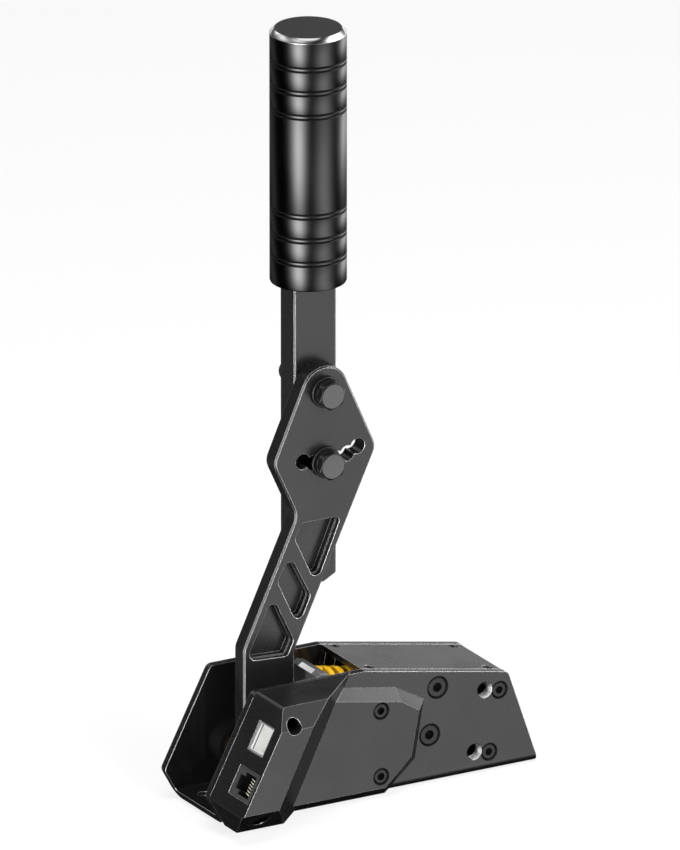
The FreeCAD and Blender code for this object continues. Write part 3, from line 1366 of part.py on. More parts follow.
def build_housing():
    """The moulded side housing: a faceted pod for the sockets that runs out into a flat panel."""
    wall = HALF_WIDTH
    skin = SZ.skin
    shell = new_body("housing_outside")
    pod = [
        (FOOT_X, 0),
        (facet(0, 0), 0),
        (facet(0, POD_TOP), POD_TOP),
        (front_edge(POD_TOP), POD_TOP, 3),
        (TOE_X, SZ.toe_height, 1),
    ]
    pad(shell, draw_outline(new_sketch(shell, "pod_outline", "XZ_Plane", wall), pod), SZ.pod_reach, "pod")
    trim_pod(shell, "pod")
    add_panel(shell, "panel", PANEL_FOOT, PANEL_FACE, 0, SZ.panel_reach)

    core = new_body("housing_inside")
    over = 1.0
    front_shift = skin / cosine(SZ.front_slant)
    toe_shift = skin / cosine(SZ.toe_slant)
    inner_toe = SZ.toe_height + (toe_shift - front_shift) / (tangent(SZ.front_slant) + tangent(SZ.toe_slant))
    inner_top = POD_TOP - skin
    pod_core = [
        (FOOT_X - skin * tangent(SZ.toe_slant) + toe_shift, skin),
        (facet(0, 0) + 5, skin),
        (facet(0, inner_top) + 5, inner_top),
        (front_edge(inner_top) + front_shift, inner_top),
        (front_edge(inner_toe) + front_shift, inner_toe),
    ]
    sketch = draw_outline(new_sketch(core, "pod_core_outline", "XZ_Plane", wall - over), pod_core)
    pad(core, sketch, SZ.pod_reach - skin + over, "pod_core")
    trim_pod(core, "pod_core", skin)
    depth = SZ.panel_reach - skin * 0.85
    share = depth / SZ.panel_reach
    middle = [
        (foot[0] + (as_size(face[0]) - foot[0]) * share, foot[1] + (as_size(face[1]) - foot[1]) * share)
        for foot, face in zip(PANEL_FOOT, PANEL_FACE)
    ]
    foot = inset_outline(PANEL_FOOT, skin * 1.3)
    face = inset_outline(middle, skin * 1.1)
    add_panel(core, "panel_core", foot, face, -0.2, depth)
    columns = [
        cylinder(f"column_{number}", SZ.column_radius, SZ.pod_reach + 2, (x, -wall + 1, z), NEAR_SIDE)
        for number, (x, z) in enumerate(POD_SCREWS + PANEL_SCREWS, start=1)
    ]
    hollow = without("housing_hollow", core, joined("housing_columns", columns))
    outer = -wall - SZ.pod_reach - over
    drills = []
    for number, (x, z) in enumerate(POD_SCREWS + PANEL_SCREWS, start=1):
        in_pod = number <= len(POD_SCREWS)
        panel_seat = -wall - SZ.panel_reach + SZ.housing_head + SZ.screw_sink
        seat = -wall - SZ.pod_seat if in_pod else panel_seat
        well = SZ.pod_well if in_pod else SZ.panel_head_radius + SZ.seat_gap
        bore = SZ.housing_screw_radius + SZ.seat_gap
        drills.append(cylinder(f"housing_bore_{number}", bore, SZ.pod_reach + 3, (x, -wall + 1, z), NEAR_SIDE))
        drills.append(cylinder(f"housing_well_{number}", well, seat - outer, (x, seat, z), NEAR_SIDE))
    lean = ((AXIS_Y, SZ.front_slant),)
    windows = []
    for name, drop, high_size, wide, middle in socket_places():
        gap = SZ.socket_gap
        x = SZ.front_x - drop * sine(SZ.front_slant)
        z = SZ.top_height - drop * cosine(SZ.front_slant)
        back = 5 if name == "usb" else 8.2
        half_high = high_size / 2 + gap
        windows.append(
            box(
                f"{name}_window",
                2 * back,
                wide + gap * 2,
                half_high * 2,
                (
                    x - back * cosine(SZ.front_slant) - half_high * sine(SZ.front_slant),
                    middle - wide / 2 - gap,
                    z + back * sine(SZ.front_slant) - half_high * cosine(SZ.front_slant),
                ),
                lean,
            )
        )
    tools = joined("housing_tools", [hollow] + drills + windows)
    node(without("housing_finished", shell, tools), "side_housing")
    shank = SZ.housing_screw_radius
    pod_sizes = (SZ.pod_head_radius, SZ.housing_head, shank, SZ.pod_screw_length, SZ.pod_socket)
    pod_screws = [
        screw(f"pod_screw_{number}", (x, -wall - SZ.pod_seat - SZ.housing_head, z), NEAR_SIDE, *pod_sizes)
        for number, (x, z) in enumerate(POD_SCREWS, start=1)
    ]
    panel_sizes = (SZ.panel_head_radius, SZ.housing_head, shank, SZ.panel_screw_length, SZ.panel_socket)
    panel_screws = [
        screw(f"panel_screw_{number}", (x, -wall - SZ.panel_reach + SZ.screw_sink, z), NEAR_SIDE, *panel_sizes)
        for number, (x, z) in enumerate(PANEL_SCREWS, start=1)
    ]
    group("pod_screws", pod_screws)
    group("panel_screws", panel_screws)


def socket_places():
    """Each socket: name, distance down the front face, size along it, size outwards, middle in Y."""
    inner_side = -HALF_WIDTH - SZ.board_reach - SZ.board
    return [
        ("usb", SZ.usb_drop, SZ.usb_high, SZ.usb_wide, inner_side - SZ.usb_wide / 2),
        ("jack", SZ.jack_drop, SZ.jack_high, SZ.jack_wide, inner_side - SZ.jack_wide / 2),
    ]


def build_sockets():
    """The two sockets on their circuit board, square to the slanted front face."""
    lean = ((AXIS_Y, SZ.front_slant),)
    origin = (SZ.front_x, 0, SZ.top_height)
    usb, jack = socket_places()
    recess = SZ.socket_recess
    name, drop, high, wide, middle = usb
    metal = SZ.shell_metal
    shell_blank = box("usb_blank", SZ.socket_depth, wide, high, (recess, middle - wide / 2, -drop - high / 2))
    cavity = box(
        "usb_cavity",
        SZ.socket_depth - 1,
        wide - metal * 2,
        high - metal * 2,
        (recess - 0.5, middle - wide / 2 + metal, -drop - high / 2 + metal),
    )
    shell = without("usb_shell_solid", shell_blank, cavity)
    place(shell, origin, lean)
    node(shell, "usb_shell")
    tongue = box("usb_tongue_solid", 6.0, 3.2, 6.0, (recess + 7.0, middle - 1.6, -drop - 3.0))
    holder = box(
        "usb_insert_base",
        1.5,
        wide - metal * 2,
        high - metal * 2,
        (recess + SZ.socket_depth - 3.0, middle - wide / 2 + metal, -drop - high / 2 + metal),
    )
    insert = joined("usb_insert_solid", [tongue, holder])
    place(insert, origin, lean)
    node(insert, "usb_insert")
    name, drop, high, wide, middle = jack
    blank = box("jack_blank", SZ.jack_depth, wide, high, (recess, middle - wide / 2, -drop - high / 2))
    outer_side = middle - wide / 2
    low = -drop - 4.9
    jack_tools = [
        box("jack_mouth", 7.0, 8.6, 9.8, (recess - 0.5, outer_side + 1.9, low)),
        box("jack_throat", SZ.jack_depth - 1, 4.3, 9.8, (recess - 0.5, outer_side + 6.2, low)),
        box("jack_latch", SZ.jack_depth - 3, 3.4, 6.2, (recess - 0.5, outer_side + 10.3, -drop - 3.1)),
        box("jack_relief", SZ.jack_depth, 5.2, high + 2, (recess + 7.6, outer_side - 1, -drop - high / 2 - 1)),
    ]
    jack_solid = without("jack_solid", blank, joined("jack_hollows", jack_tools))
    place(jack_solid, origin, lean)
    node(jack_solid, "jack_housing")
    contacts = []
    wire, step, count = 0.45, 1.27, 6
    for number in range(count):
        level = -drop - 3.2 + step * number - wire / 2
        corner = (recess + 3.0, outer_side + 2.05, level)
        contacts.append(box(f"contact_{number + 1}", 3.3, wire, wire, corner, ((AXIS_Z, 14),)))
    place(group("jack_contacts", contacts), origin, lean)
    board_near = -HALF_WIDTH - SZ.board_reach
    corner = (SZ.board_ahead, board_near - SZ.board, -SZ.board_high - SZ.board_tall)
    blank = box("board_blank", SZ.board_long, SZ.board, SZ.board_tall, corner)
    spots = [(SZ.spacer_back, -SZ.spacer_high), (SZ.spacer_back, -SZ.spacer_low)]
    drill = SZ.board_screw_radius * 1.25
    drills = [
        cylinder(f"board_drill_{number}", drill, SZ.board + 2, (x, board_near + 1, z), NEAR_SIDE)
        for number, (x, z) in enumerate(spots, start=1)
    ]
    board = without("board_solid", blank, joined("board_drills", drills))
    place(board, origin, lean)
    node(board, "circuit_board")
    spacers = [
        cylinder(f"spacer_{number}", SZ.spacer_radius, SZ.board_reach, (x, -HALF_WIDTH, z), NEAR_SIDE)
        for number, (x, z) in enumerate(spots, start=1)
    ]
    thread = SZ.board_screw_radius + 0.05
    deep = SZ.board_screw_length
    threads = [
        cylinder(f"spacer_hole_{number}", thread, deep, (x, board_near + deep - 1, z), NEAR_SIDE)
        for number, (x, z) in enumerate(spots, start=1)
    ]
    posts = without("spacer_solids", joined("spacer_row", spacers), joined("spacer_holes", threads))
    place(posts, origin, lean)
    node(posts, "board_spacers")
    sizes = (
        SZ.board_head_radius,
        SZ.board_head,
        SZ.board_screw_radius,
        SZ.board_screw_length,
        SZ.board_socket,
    )
    head_y = board_near - SZ.board - SZ.board_head
    screws = [
        screw(f"board_screw_{number}", (x, head_y, z), NEAR_SIDE, *sizes)
        for number, (x, z) in enumerate(spots, start=1)
    ]
    place(group("board_screws", screws), origin, lean)


def build_sensor():
    """The small board with the angle sensor that faces the magnet in the shaft's end."""
    face = -HALF_WIDTH - 1.6
    plate = box("sensor_plate", 12, 1.0, 22, (SZ.pivot_x - 6, face - 1.0, SZ.pivot_height - 9))
    chip = box("sensor_chip", 5, 0.8, 4, (SZ.pivot_x - 2.5, face, SZ.pivot_height - 2))
    posts = [
        cylinder(f"sensor_post_{number}", 2.0, 1.6, (SZ.pivot_x, -HALF_WIDTH, SZ.pivot_height + z), NEAR_SIDE)
        for number, z in enumerate((-6.9 - 1.9, 10.5), start=1)
    ]
    node(joined("sensor_solid", [plate, chip] + posts), "sensor_board")


def finish():
    """Check every object and write one file for each piece."""
    DOCUMENT.recompute()
    for thing in DOCUMENT.Objects:
        if "Invalid" in thing.State or "Error" in thing.State:
            raise ValueError(f"{thing.Name} failed: {thing.State}")
    os.makedirs("parts", exist_ok=True)
    facets = 0
    for thing in NODES:
        shape = thing.Shape
        if shape.isNull() or not shape.isValid() or not shape.Solids:
            raise ValueError(f"{thing.Label} has no valid solid")
        own_facets = len(shape.tessellate(0.1)[1])
        facets += own_facets
        shape.exportStep(f"parts/{thing.Label}.step")
        box_size = shape.BoundBox
        print(thing.Label, "solids", len(shape.Solids), "volume", round(shape.Volume, 1), own_facets, box_size)
    print("pieces", len(NODES), "facets", facets)


build_chassis()
build_top_cover()
build_cover_tabs()
build_spring_block()
build_rear_block()
build_plunger()
build_bump_stop()
build_spring()
build_pivot()
build_arm()
build_rest_pad()
build_handle_bar()
build_grip()
build_bolt("tilt", 0, SZ.bolt_radius)
build_bolt("lock", SZ.lock_drop, SZ.lock_radius)
build_housing()
build_sockets()
build_sensor()
finish()
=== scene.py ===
import json
import math

import bmesh
import bpy
import numpy as np
from bpy.props import FloatProperty, FloatVectorProperty, IntProperty, PointerProperty
from mathutils import Matrix, Vector


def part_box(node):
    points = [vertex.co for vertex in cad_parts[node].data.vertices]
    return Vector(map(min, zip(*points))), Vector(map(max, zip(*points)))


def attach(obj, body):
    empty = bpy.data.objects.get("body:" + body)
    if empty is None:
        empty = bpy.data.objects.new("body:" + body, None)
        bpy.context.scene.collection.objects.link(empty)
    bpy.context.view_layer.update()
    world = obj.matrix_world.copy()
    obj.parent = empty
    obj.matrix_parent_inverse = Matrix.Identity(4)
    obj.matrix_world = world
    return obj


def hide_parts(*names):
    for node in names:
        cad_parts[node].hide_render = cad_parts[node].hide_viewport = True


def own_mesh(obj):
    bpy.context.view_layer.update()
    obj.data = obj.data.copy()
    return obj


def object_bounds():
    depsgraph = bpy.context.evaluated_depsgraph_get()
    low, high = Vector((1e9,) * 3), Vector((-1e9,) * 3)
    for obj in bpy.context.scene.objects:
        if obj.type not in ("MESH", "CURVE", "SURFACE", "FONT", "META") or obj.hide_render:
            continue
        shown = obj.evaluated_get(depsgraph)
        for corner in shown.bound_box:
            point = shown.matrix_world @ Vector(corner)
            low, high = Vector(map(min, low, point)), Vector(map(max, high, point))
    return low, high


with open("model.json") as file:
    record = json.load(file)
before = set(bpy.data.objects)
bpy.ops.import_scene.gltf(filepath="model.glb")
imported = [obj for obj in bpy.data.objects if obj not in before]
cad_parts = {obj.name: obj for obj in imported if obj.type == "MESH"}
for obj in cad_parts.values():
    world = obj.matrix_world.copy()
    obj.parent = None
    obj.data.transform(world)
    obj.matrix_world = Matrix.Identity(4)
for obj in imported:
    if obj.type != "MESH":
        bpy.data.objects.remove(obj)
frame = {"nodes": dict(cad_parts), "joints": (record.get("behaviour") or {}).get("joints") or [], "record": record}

bl_info = {
    "name": "Racing handbrake finish",
    "version": (1, 0, 0),
    "blender": (4, 5, 0),
    "location": "3D View > Sidebar > Handbrake",
    "description": "Finishes, turned parts, screws and studio for the sim racing handbrake",
    "category": "Object",
}

CAD_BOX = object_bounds()
MM = 0.001
UP = Vector((0, 0, 1))
NEAR = Vector((0, -1, 0))
FAR = Vector((0, 1, 0))
# the size of a ring that stands for a pole, whose points are then merged
POLE = 1e-6


# Shapes worked out as grids of points


def unit(vector):
    """The same direction with length one, as a numpy array."""
    return np.array(Vector(vector).normalized())


def circle(axis, t):
    """The direction of an axis, and cos t across + sin t side, the points of a circle round it."""
    along = unit(axis)
    across = unit(Vector(axis).orthogonal())
    side = np.cross(along, across)
    return along, np.cos(t)[:, None] * across + np.sin(t)[:, None] * side


def turned_rows(profile, centre, axis, sides=96):
    """A turned surface: profile point (r, h) goes to centre + h axis + r (cos t across + sin t side)."""
    along, ring = circle(axis, np.linspace(0, 2 * math.pi, sides, endpoint=False))
    r, h = np.array(profile, float).T
    return np.array(centre) + h[:, None, None] * along + r[:, None, None] * ring


def shaped_rows(profile, centre, axis, sides):
    """A surface whose rings pass from round to shaped: each profile entry is (size, height, shape, limit).

    The radius at angle t is the size for a round ring, size / cos(t wrapped to 30 degrees) for a hexagon of that
    half width, and size (1 + 0.11 cos 6t) for a six-lobed recess. Where a limit is given, no radius is larger.
    """
    t = np.linspace(0, 2 * math.pi, sides, endpoint=False)
    along, ring = circle(axis, t)
    wrapped = (t + math.pi / 6) % (math.pi / 3) - math.pi / 6
    shapes = {
        "round": np.ones(sides),
        "hexagon": 1 / np.cos(wrapped),
        "lobes": 1 + 0.11 * np.cos(6 * t),
    }
    rows = []
    for size, height, *shape in profile:
        radius = size * shapes[shape[0] if shape else "round"]
        if len(shape) > 1:
            radius = np.minimum(radius, shape[1])
        rows.append(np.array(centre) + height * along + radius[:, None] * ring)
    return np.array(rows)


def swept_rows(path, outward, section):
    """A section carried along a path: point i, corner j lies at path_i + u_j outward_i + v_j (tangent x outward)_i."""
    tangent = np.gradient(path, axis=0)
    tangent /= np.linalg.norm(tangent, axis=1)[:, None]
    out = outward - (outward * tangent).sum(1)[:, None] * tangent
    out /= np.linalg.norm(out, axis=1)[:, None]
    lift = np.cross(tangent, out)
    u, v = np.array(section, float).T
    return path[:, None, :] + u[None, :, None] * out[:, None, :] + v[None, :, None] * lift[:, None, :]


def capped(rows):
    """Rings with each end closed by one more ring, drawn together in the middle of the last."""
    first, last = (np.repeat(ring.mean(1, keepdims=True), rows.shape[1], 1) for ring in (rows[:1], rows[-1:]))
    return np.concatenate([first, rows, last])


def rounded_section(width, height, radius, steps=4):
    """A rectangle with round corners, counterclockwise: each corner's centre plus radius (cos a, sin a)."""
    angle = np.linspace(0, math.pi / 2, steps)
    corners = []
    for quarter, (a, b) in enumerate(((1, 1), (-1, 1), (-1, -1), (1, -1))):
        centre = np.array([a * (width / 2 - radius), b * (height / 2 - radius)])
        turned = angle + quarter * math.pi / 2
        corners.append(centre + radius * np.stack([np.cos(turned), np.sin(turned)], axis=1))
    return np.concatenate(corners)


def bevelled_rows(section, half, bevel):
    """A block: a section in the XZ plane carried along Y between -half and half, drawn in by the bevel at both ends.

    Point i of a ring that is drawn in by b lies b nearer to the middle of the section, measured along the section's
    own half width and half height.
    """
    section = np.array(section, float)
    centre = (section.min(0) + section.max(0)) / 2
    reach = (section.max(0) - section.min(0)) / 2
    rows = []
    ends = ((1.0, half), (bevel, half), (0.0, half - bevel))
    for inset, y in [(inset, -y) for inset, y in ends] + [(0.0, -half / 2), (0.0, half / 2)] + list(reversed(ends)):
        share = np.full(2, POLE) if inset == 1.0 else 1 - inset / reach
        ring = centre + (section - centre) * share
        rows.append(np.column_stack([ring[:, 0], np.full(len(ring), y), ring[:, 1]]))
    return np.array(rows)


def grid_faces(rows, columns, first):
    """The quads of a grid of closed rings."""
    r = np.arange(rows - 1)[:, None]
    c = np.arange(columns)[None, :]
    a = r * columns + c
    b = r * columns + (c + 1) % columns
    above = ((r + 1) % rows) * columns
    quads = np.stack([a, b, above + (c + 1) % columns, above + c], axis=-1)
    return quads.reshape(-1, 4) + first


def make_piece(name, parts, body, materials, replaced=(), crease=32.0):
    """One mesh from grids of rings (rows, columns, 3) on a body of the frame.

    Each grid has its material's number, or one number for each step between rings, or one for each of its faces.
    """
    points, faces, numbers = [], [], []
    first = 0
    for rows, number in parts:
        count, columns = rows.shape[:2]
        points.append(rows.reshape(-1, 3))
        quads = grid_faces(count, columns, first)
        faces.append(quads)
        if np.isscalar(number):
            numbers.append(np.full(len(quads), number))
        elif number.ndim == 2:
            numbers.append(number.ravel())
        else:
            numbers.append(np.repeat(number, columns))
        first += count * columns
    points, faces, numbers = np.concatenate(points), np.concatenate(faces), np.concatenate(numbers)
    mesh = bpy.data.meshes.new(name)
    mesh.from_pydata(points.tolist(), [], faces.tolist())
    for material in materials:
        mesh.materials.append(material)
    mesh.polygons.foreach_set("material_index", numbers.astype(np.int32))
    shell = bmesh.new()
    shell.from_mesh(mesh)
    bmesh.ops.remove_doubles(shell, verts=shell.verts, dist=1e-6)
    bmesh.ops.dissolve_degenerate(shell, edges=shell.edges, dist=1e-7)
    shell.to_mesh(mesh)
    shell.free()
    mesh.polygons.foreach_set("use_smooth", np.ones(len(mesh.polygons), bool))
    mesh.set_sharp_from_angle(angle=math.radians(crease))
    mesh.update()
    piece = bpy.data.objects.new(name, mesh)
    bpy.context.scene.collection.objects.link(piece)
    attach(piece, body)
    if replaced:
        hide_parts(*replaced)
    return piece


# Finishes


class Net:
    """A node tree: nodes are added with their values and joined by socket."""

    def __init__(self, tree):
        self.nodes, self.links = tree.nodes, tree.links

    def add(self, kind, inputs=None, **settings):
        """A node with its settings; inputs maps a socket's name or number to a value or another socket."""
        made = self.nodes.new(kind)
        for key, value in settings.items():
            setattr(made, key, value)
        for key, value in (inputs or {}).items():
            self.fill(made.inputs[key], value)
        return made

    def fill(self, socket, value):
        """Gives a socket a link, a colour or a plain value."""
        if isinstance(value, bpy.types.NodeSocket):
            self.links.new(value, socket)
        elif socket.type == "RGBA":
            socket.default_value = (*value[:3], 1.0)
        else:
            socket.default_value = value

    def calculate(self, operation, first, second=0.0, third=0.0):
        """One sum of two or three values."""
        return self.add("ShaderNodeMath", {0: first, 1: second, 2: third}, operation=operation).outputs[0]

    def times(self, first, second):
        """The product of two values."""
        return self.calculate("MULTIPLY", first, second)

    def without(self, value, mask):
        """The value where a mask is 0, and nothing where it is 1."""
        return self.times(value, self.calculate("SUBTRACT", 1.0, mask))

    def seen(self):
        """1 for rays from the camera, from gloss and through glass, and 0 for the rest of the light."""
        rays = self.add("ShaderNodeLightPath").outputs
        gloss = self.calculate("MAXIMUM", rays["Is Camera Ray"], rays["Is Glossy Ray"])
        return self.calculate("MAXIMUM", gloss, rays["Is Transmission Ray"])


class Finish(Net):
    """A node material of its own for the frame's nodes and the pieces."""

    def __init__(self, name):
        self.material = bpy.data.materials.new(name)
        self.material.use_nodes = True
        super().__init__(self.material.node_tree)
        self.shader = self.nodes["Principled BSDF"]
        self.place = self.add("ShaderNodeTexCoord").outputs["Object"]

    def noise(self, scale, detail=4.0, roughness=0.55, place=None):
        """Cloudy noise between 0 and 1."""
        values = {"Vector": place or self.place, "Scale": scale, "Detail": detail, "Roughness": roughness}
        return self.add("ShaderNodeTexNoise", values).outputs["Fac"]

    def span(self, value, low, high, to_low, to_high, smooth=False):
        """The value carried from one range to another, held at its ends."""
        values = {"Value": value, "From Min": low, "From Max": high, "To Min": to_low, "To Max": to_high}
        kind = "SMOOTHSTEP" if smooth else "LINEAR"
        return self.add("ShaderNodeMapRange", values, interpolation_type=kind).outputs["Result"]

    def mix(self, share, first, second):
        """Two colours mixed."""
        return self.add("ShaderNodeMix", {0: share, 6: first, 7: second}, data_type="RGBA").outputs[2]

    def set(self, **values):
        """Gives the shader values or sockets, named with underscores for spaces, and returns the material."""
        for key, value in values.items():
            self.fill(self.shader.inputs[key.replace("_", " ")], value)
        return self.material

    def bump(self, height, depth, strength=1.0, under=None):
        """Raises the surface by height times depth in metres."""
        values = {"Height": height, "Distance": depth, "Strength": strength}
        if under is not None:
            values["Normal"] = under
        return self.add("ShaderNodeBump", values).outputs["Normal"]

    def split(self, vector=None):
        """The x, y and z of a vector, or of the place."""
        return self.add("ShaderNodeSeparateXYZ", {0: vector or self.place}).outputs

    def sideways(self):
        """The distance from the middle plane."""
        return self.calculate("ABSOLUTE", self.split()[1])

    def join(self, x, y=0.0):
        """A vector from its x and y."""
        return self.add("ShaderNodeCombineXYZ", {0: x, 1: y}).outputs[0]

    def measure(self, operation, first, second=(0.0, 0.0, 0.0)):
        """A number from one or two vectors: a length or a dot product."""
        return self.add("ShaderNodeVectorMath", {0: first, 1: second}, operation=operation).outputs["Value"]

    def near_axes(self, places, radius, towards=None):
        """1 within a radius of any of some axes along Y, given by x and z, or only on one side of them."""
        here = self.split()
        inside = 0.0
        for x, z in places:
            flat = self.join(self.calculate("SUBTRACT", here[0], x), self.calculate("SUBTRACT", here[2], z))
            near = self.span(self.measure("LENGTH", flat), radius, radius + SOFT_RIM, 1.0, 0.0)
            if towards:
                side = self.measure("DOT_PRODUCT", flat, (*towards, 0.0))
                near = self.times(near, self.span(side, *BORE_LIT_SIDE, 0.0, 1.0))
            inside = self.calculate("MAXIMUM", near, inside)
        return inside

    def edges(self, radius):
        """Between 0 and 1 where a rounded normal leaves the true one, which is along edges, and that normal."""
        round_normal = self.add("ShaderNodeBevel", {"Radius": radius}, samples=6).outputs["Normal"]
        true_normal = self.add("ShaderNodeNewGeometry").outputs["True Normal"]
        facing = self.measure("DOT_PRODUCT", round_normal, true_normal)
        edge_mask = self.span(self.calculate("SUBTRACT", 1.0, facing), *EDGE_TURN, 0.0, 1.0, smooth=True)
        return edge_mask, round_normal


# the middle range of a noise, over which most of it lies
MIDST = (0.3, 0.7)
# how far a rounded normal turns, as 1 - cos, from the first trace of the light edge colour, partly wear and partly a
# painted highlight, to its full strength
EDGE_TURN = (0.008, 0.09)
# lean of the front face that holds the sockets
PORT_LEAN = math.radians(27.4)
# a mask's soft rim, and the dark, rough ring of painted shade round each screw head
SOFT_RIM = 0.1 * MM
SEAT_RING = 0.45 * MM
SEAT_ROUGHNESS = 0.9
SEAT_SHADE_COLOUR = (0.0005, 0.0005, 0.0005)
# the side bores: radius, a bright colour painted as a highlight on their lit side only, first to full depth from the
# middle, and the side that is lit
CUT_RADIUS = 3.56 * MM
BORE_HIGHLIGHT_COLOUR = (0.9, 0.9, 0.91)
BORE_HIGHLIGHT_START = (15.4 * MM, 15.8 * MM)
BORE_LIT_SIDE = (0.8 * MM, 2.0 * MM)
BORE_LIT_TOWARDS = (0.8, -0.6)
BORE_HIGHLIGHT_METAL = 0.5
# the coat between the walls is smoother
INNER_FACE = 17.6 * MM
INNER_RIM = 0.2 * MM
INNER_SHARE = 0.4
# edges in the lever's pockets, deeper than its face by these lengths, keep this share of the light edge colour, which
# is partly wear and partly a painted highlight
DEEP_START = (0.5 * MM, 1.0 * MM)
DEEP_SHARE = 0.22
# how metallic an edge is where the light edge colour, partly wear and partly a painted highlight, lies
EDGE_AND_HIGHLIGHT_METAL = 0.9


def black_coat(
    name, colour, edge_and_highlight_colour, roughness, grain=1500.0, depth=0.000008, edge=0.0004, specular=0.5, bores=(), seats=(),
    inner=None, front=None,
):
    """Satin black coat: fine grain, faint cloudiness and light edges, partly rubbed wear and partly a painted
    highlight.

    It has bores along Y painted bright on their lit side as a painted highlight, rings of painted shade round screw
    seats, each given by its places and radius, and a smoother coat nearer to the middle than inner. Edges that lie
    deeper than front along Y take little of the light edge colour.
    """
    finish = Finish(name)
    edge_mask, round_normal = finish.edges(edge)
    cloud = finish.noise(38.0, 3.0)
    fine = finish.noise(grain, 2.0, 0.6)
    scuffs = finish.noise(260.0, 5.0, 0.7)
    shade = finish.span(cloud, *MIDST, 0.88, 1.1)
    tinted = finish.mix(finish.span(fine, 0.35, 0.75, 0.0, 0.3), colour, [c * 1.35 for c in colour])
    grey = finish.add("ShaderNodeCombineColor", {0: shade, 1: shade, 2: shade}).outputs[0]
    even = finish.add("ShaderNodeMix", {0: 1.0, 6: tinted, 7: grey}, data_type="RGBA", blend_type="MULTIPLY")
    coated, ring = even.outputs[2], None
    # light edge colour along every edge: partly rubbed wear, partly a painted highlight
    wear_and_highlight = finish.times(edge_mask, finish.span(scuffs, 0.3, 0.62, 0.78, 1.0))
    if front is not None:
        start, full = DEEP_START
        wear_and_highlight = finish.times(wear_and_highlight, finish.span(finish.split()[1], front + start, front + full, 1.0, DEEP_SHARE))
    # painted shade: a near-black, rough ring round each screw head
    for places, radius in seats:
        near = finish.near_axes(places, radius)
        ring = near if ring is None else finish.calculate("MAXIMUM", ring, near)
    if ring is not None:
        wear_and_highlight = finish.without(wear_and_highlight, ring)
        coated = finish.mix(ring, coated, SEAT_SHADE_COLOUR)
    if bores:
        wear_and_highlight = finish.without(wear_and_highlight, finish.near_axes(bores, CUT_RADIUS + SEAT_RING))
    shown = finish.mix(wear_and_highlight, coated, edge_and_highlight_colour)
    if bores:
        # painted highlight: the bores' bright colour, only on the side toward the light
        lit = finish.near_axes(bores, CUT_RADIUS, BORE_LIT_TOWARDS)
        cut = finish.times(lit, finish.span(finish.sideways(), *BORE_HIGHLIGHT_START, 0.0, 1.0))
        shown = finish.mix(cut, shown, BORE_HIGHLIGHT_COLOUR)
        wear_and_highlight = finish.calculate("MAXIMUM", wear_and_highlight, finish.times(cut, BORE_HIGHLIGHT_METAL))
    broad = finish.span(cloud, *MIDST, roughness - 0.05, roughness + 0.05)
    rough = finish.calculate("ADD", broad, finish.span(fine, *MIDST, -0.03, 0.03))
    if ring is not None:
        rough = finish.calculate("MAXIMUM", rough, finish.times(ring, SEAT_ROUGHNESS))
    if inner:
        share = finish.span(finish.sideways(), inner, inner + INNER_RIM, INNER_SHARE, 1.0)
        rough = finish.times(rough, share)
    return finish.set(
        Base_Color=shown,
        Roughness=rough,
        Metallic=finish.times(wear_and_highlight, EDGE_AND_HIGHLIGHT_METAL),
        Specular_IOR_Level=specular,
        Normal=finish.bump(fine, depth, 0.35, round_normal),
    )


def turned_metal(name, colour, roughness, centre, axis, pitch=0.00035, depth=0.000004, metallic=1.0):
    """Turned metal: fine rings about the axis, from the sine of the distance to it and along it."""
    finish = Finish(name)
    turn = Vector(axis).normalized().rotation_difference(UP).to_euler()
    shift = -(turn.to_matrix() @ Vector(centre))
    mapping = finish.add(
        "ShaderNodeMapping", {"Vector": finish.place, "Location": shift, "Rotation": turn}, vector_type="POINT"
    )
    parts = finish.split(mapping.outputs[0])
    travel = finish.calculate("ADD", finish.measure("LENGTH", finish.join(parts[0], parts[1])), parts[2])
    rings = finish.calculate("SINE", finish.times(travel, 2 * math.pi / pitch))
    soft = finish.noise(90.0, 4.0)
    streak = finish.add(
        "ShaderNodeTexNoise", {"Vector": finish.join(travel), "Scale": 2600.0, "Detail": 3.0}
    ).outputs["Fac"]
    broad = finish.span(soft, *MIDST, roughness - 0.03, roughness + 0.04)
    return finish.set(
        Base_Color=finish.mix(finish.span(streak, *MIDST, 0.0, 0.35), colour, [c * 0.8 for c in colour]),
        Metallic=metallic,
        Roughness=finish.calculate("ADD", broad, finish.span(streak, *MIDST, -0.02, 0.02)),
        Normal=finish.bump(finish.calculate("ADD", finish.times(rings, 0.5), streak), depth, 0.4),
    )


def ground_metal(name, colour, roughness, stretch=(1.0, 1.0, 30.0), metallic=1.0):
    """Ground or plated metal with fine lines drawn out along one direction."""
    finish = Finish(name)
    mapping = finish.add("ShaderNodeMapping", {"Vector": finish.place, "Scale": stretch})
    lines = finish.noise(300.0, 4.0, 0.6, mapping.outputs[0])
    cloud = finish.noise(60.0, 3.0)
    broad = finish.span(cloud, *MIDST, roughness - 0.04, roughness + 0.06)
    return finish.set(
        Base_Color=finish.mix(finish.span(lines, *MIDST, 0.0, 0.5), colour, [c * 0.78 for c in colour]),
        Metallic=metallic,
        Roughness=finish.calculate("ADD", broad, finish.span(lines, *MIDST, -0.04, 0.04)),
        Normal=finish.bump(lines, 0.000006, 0.5),
    )


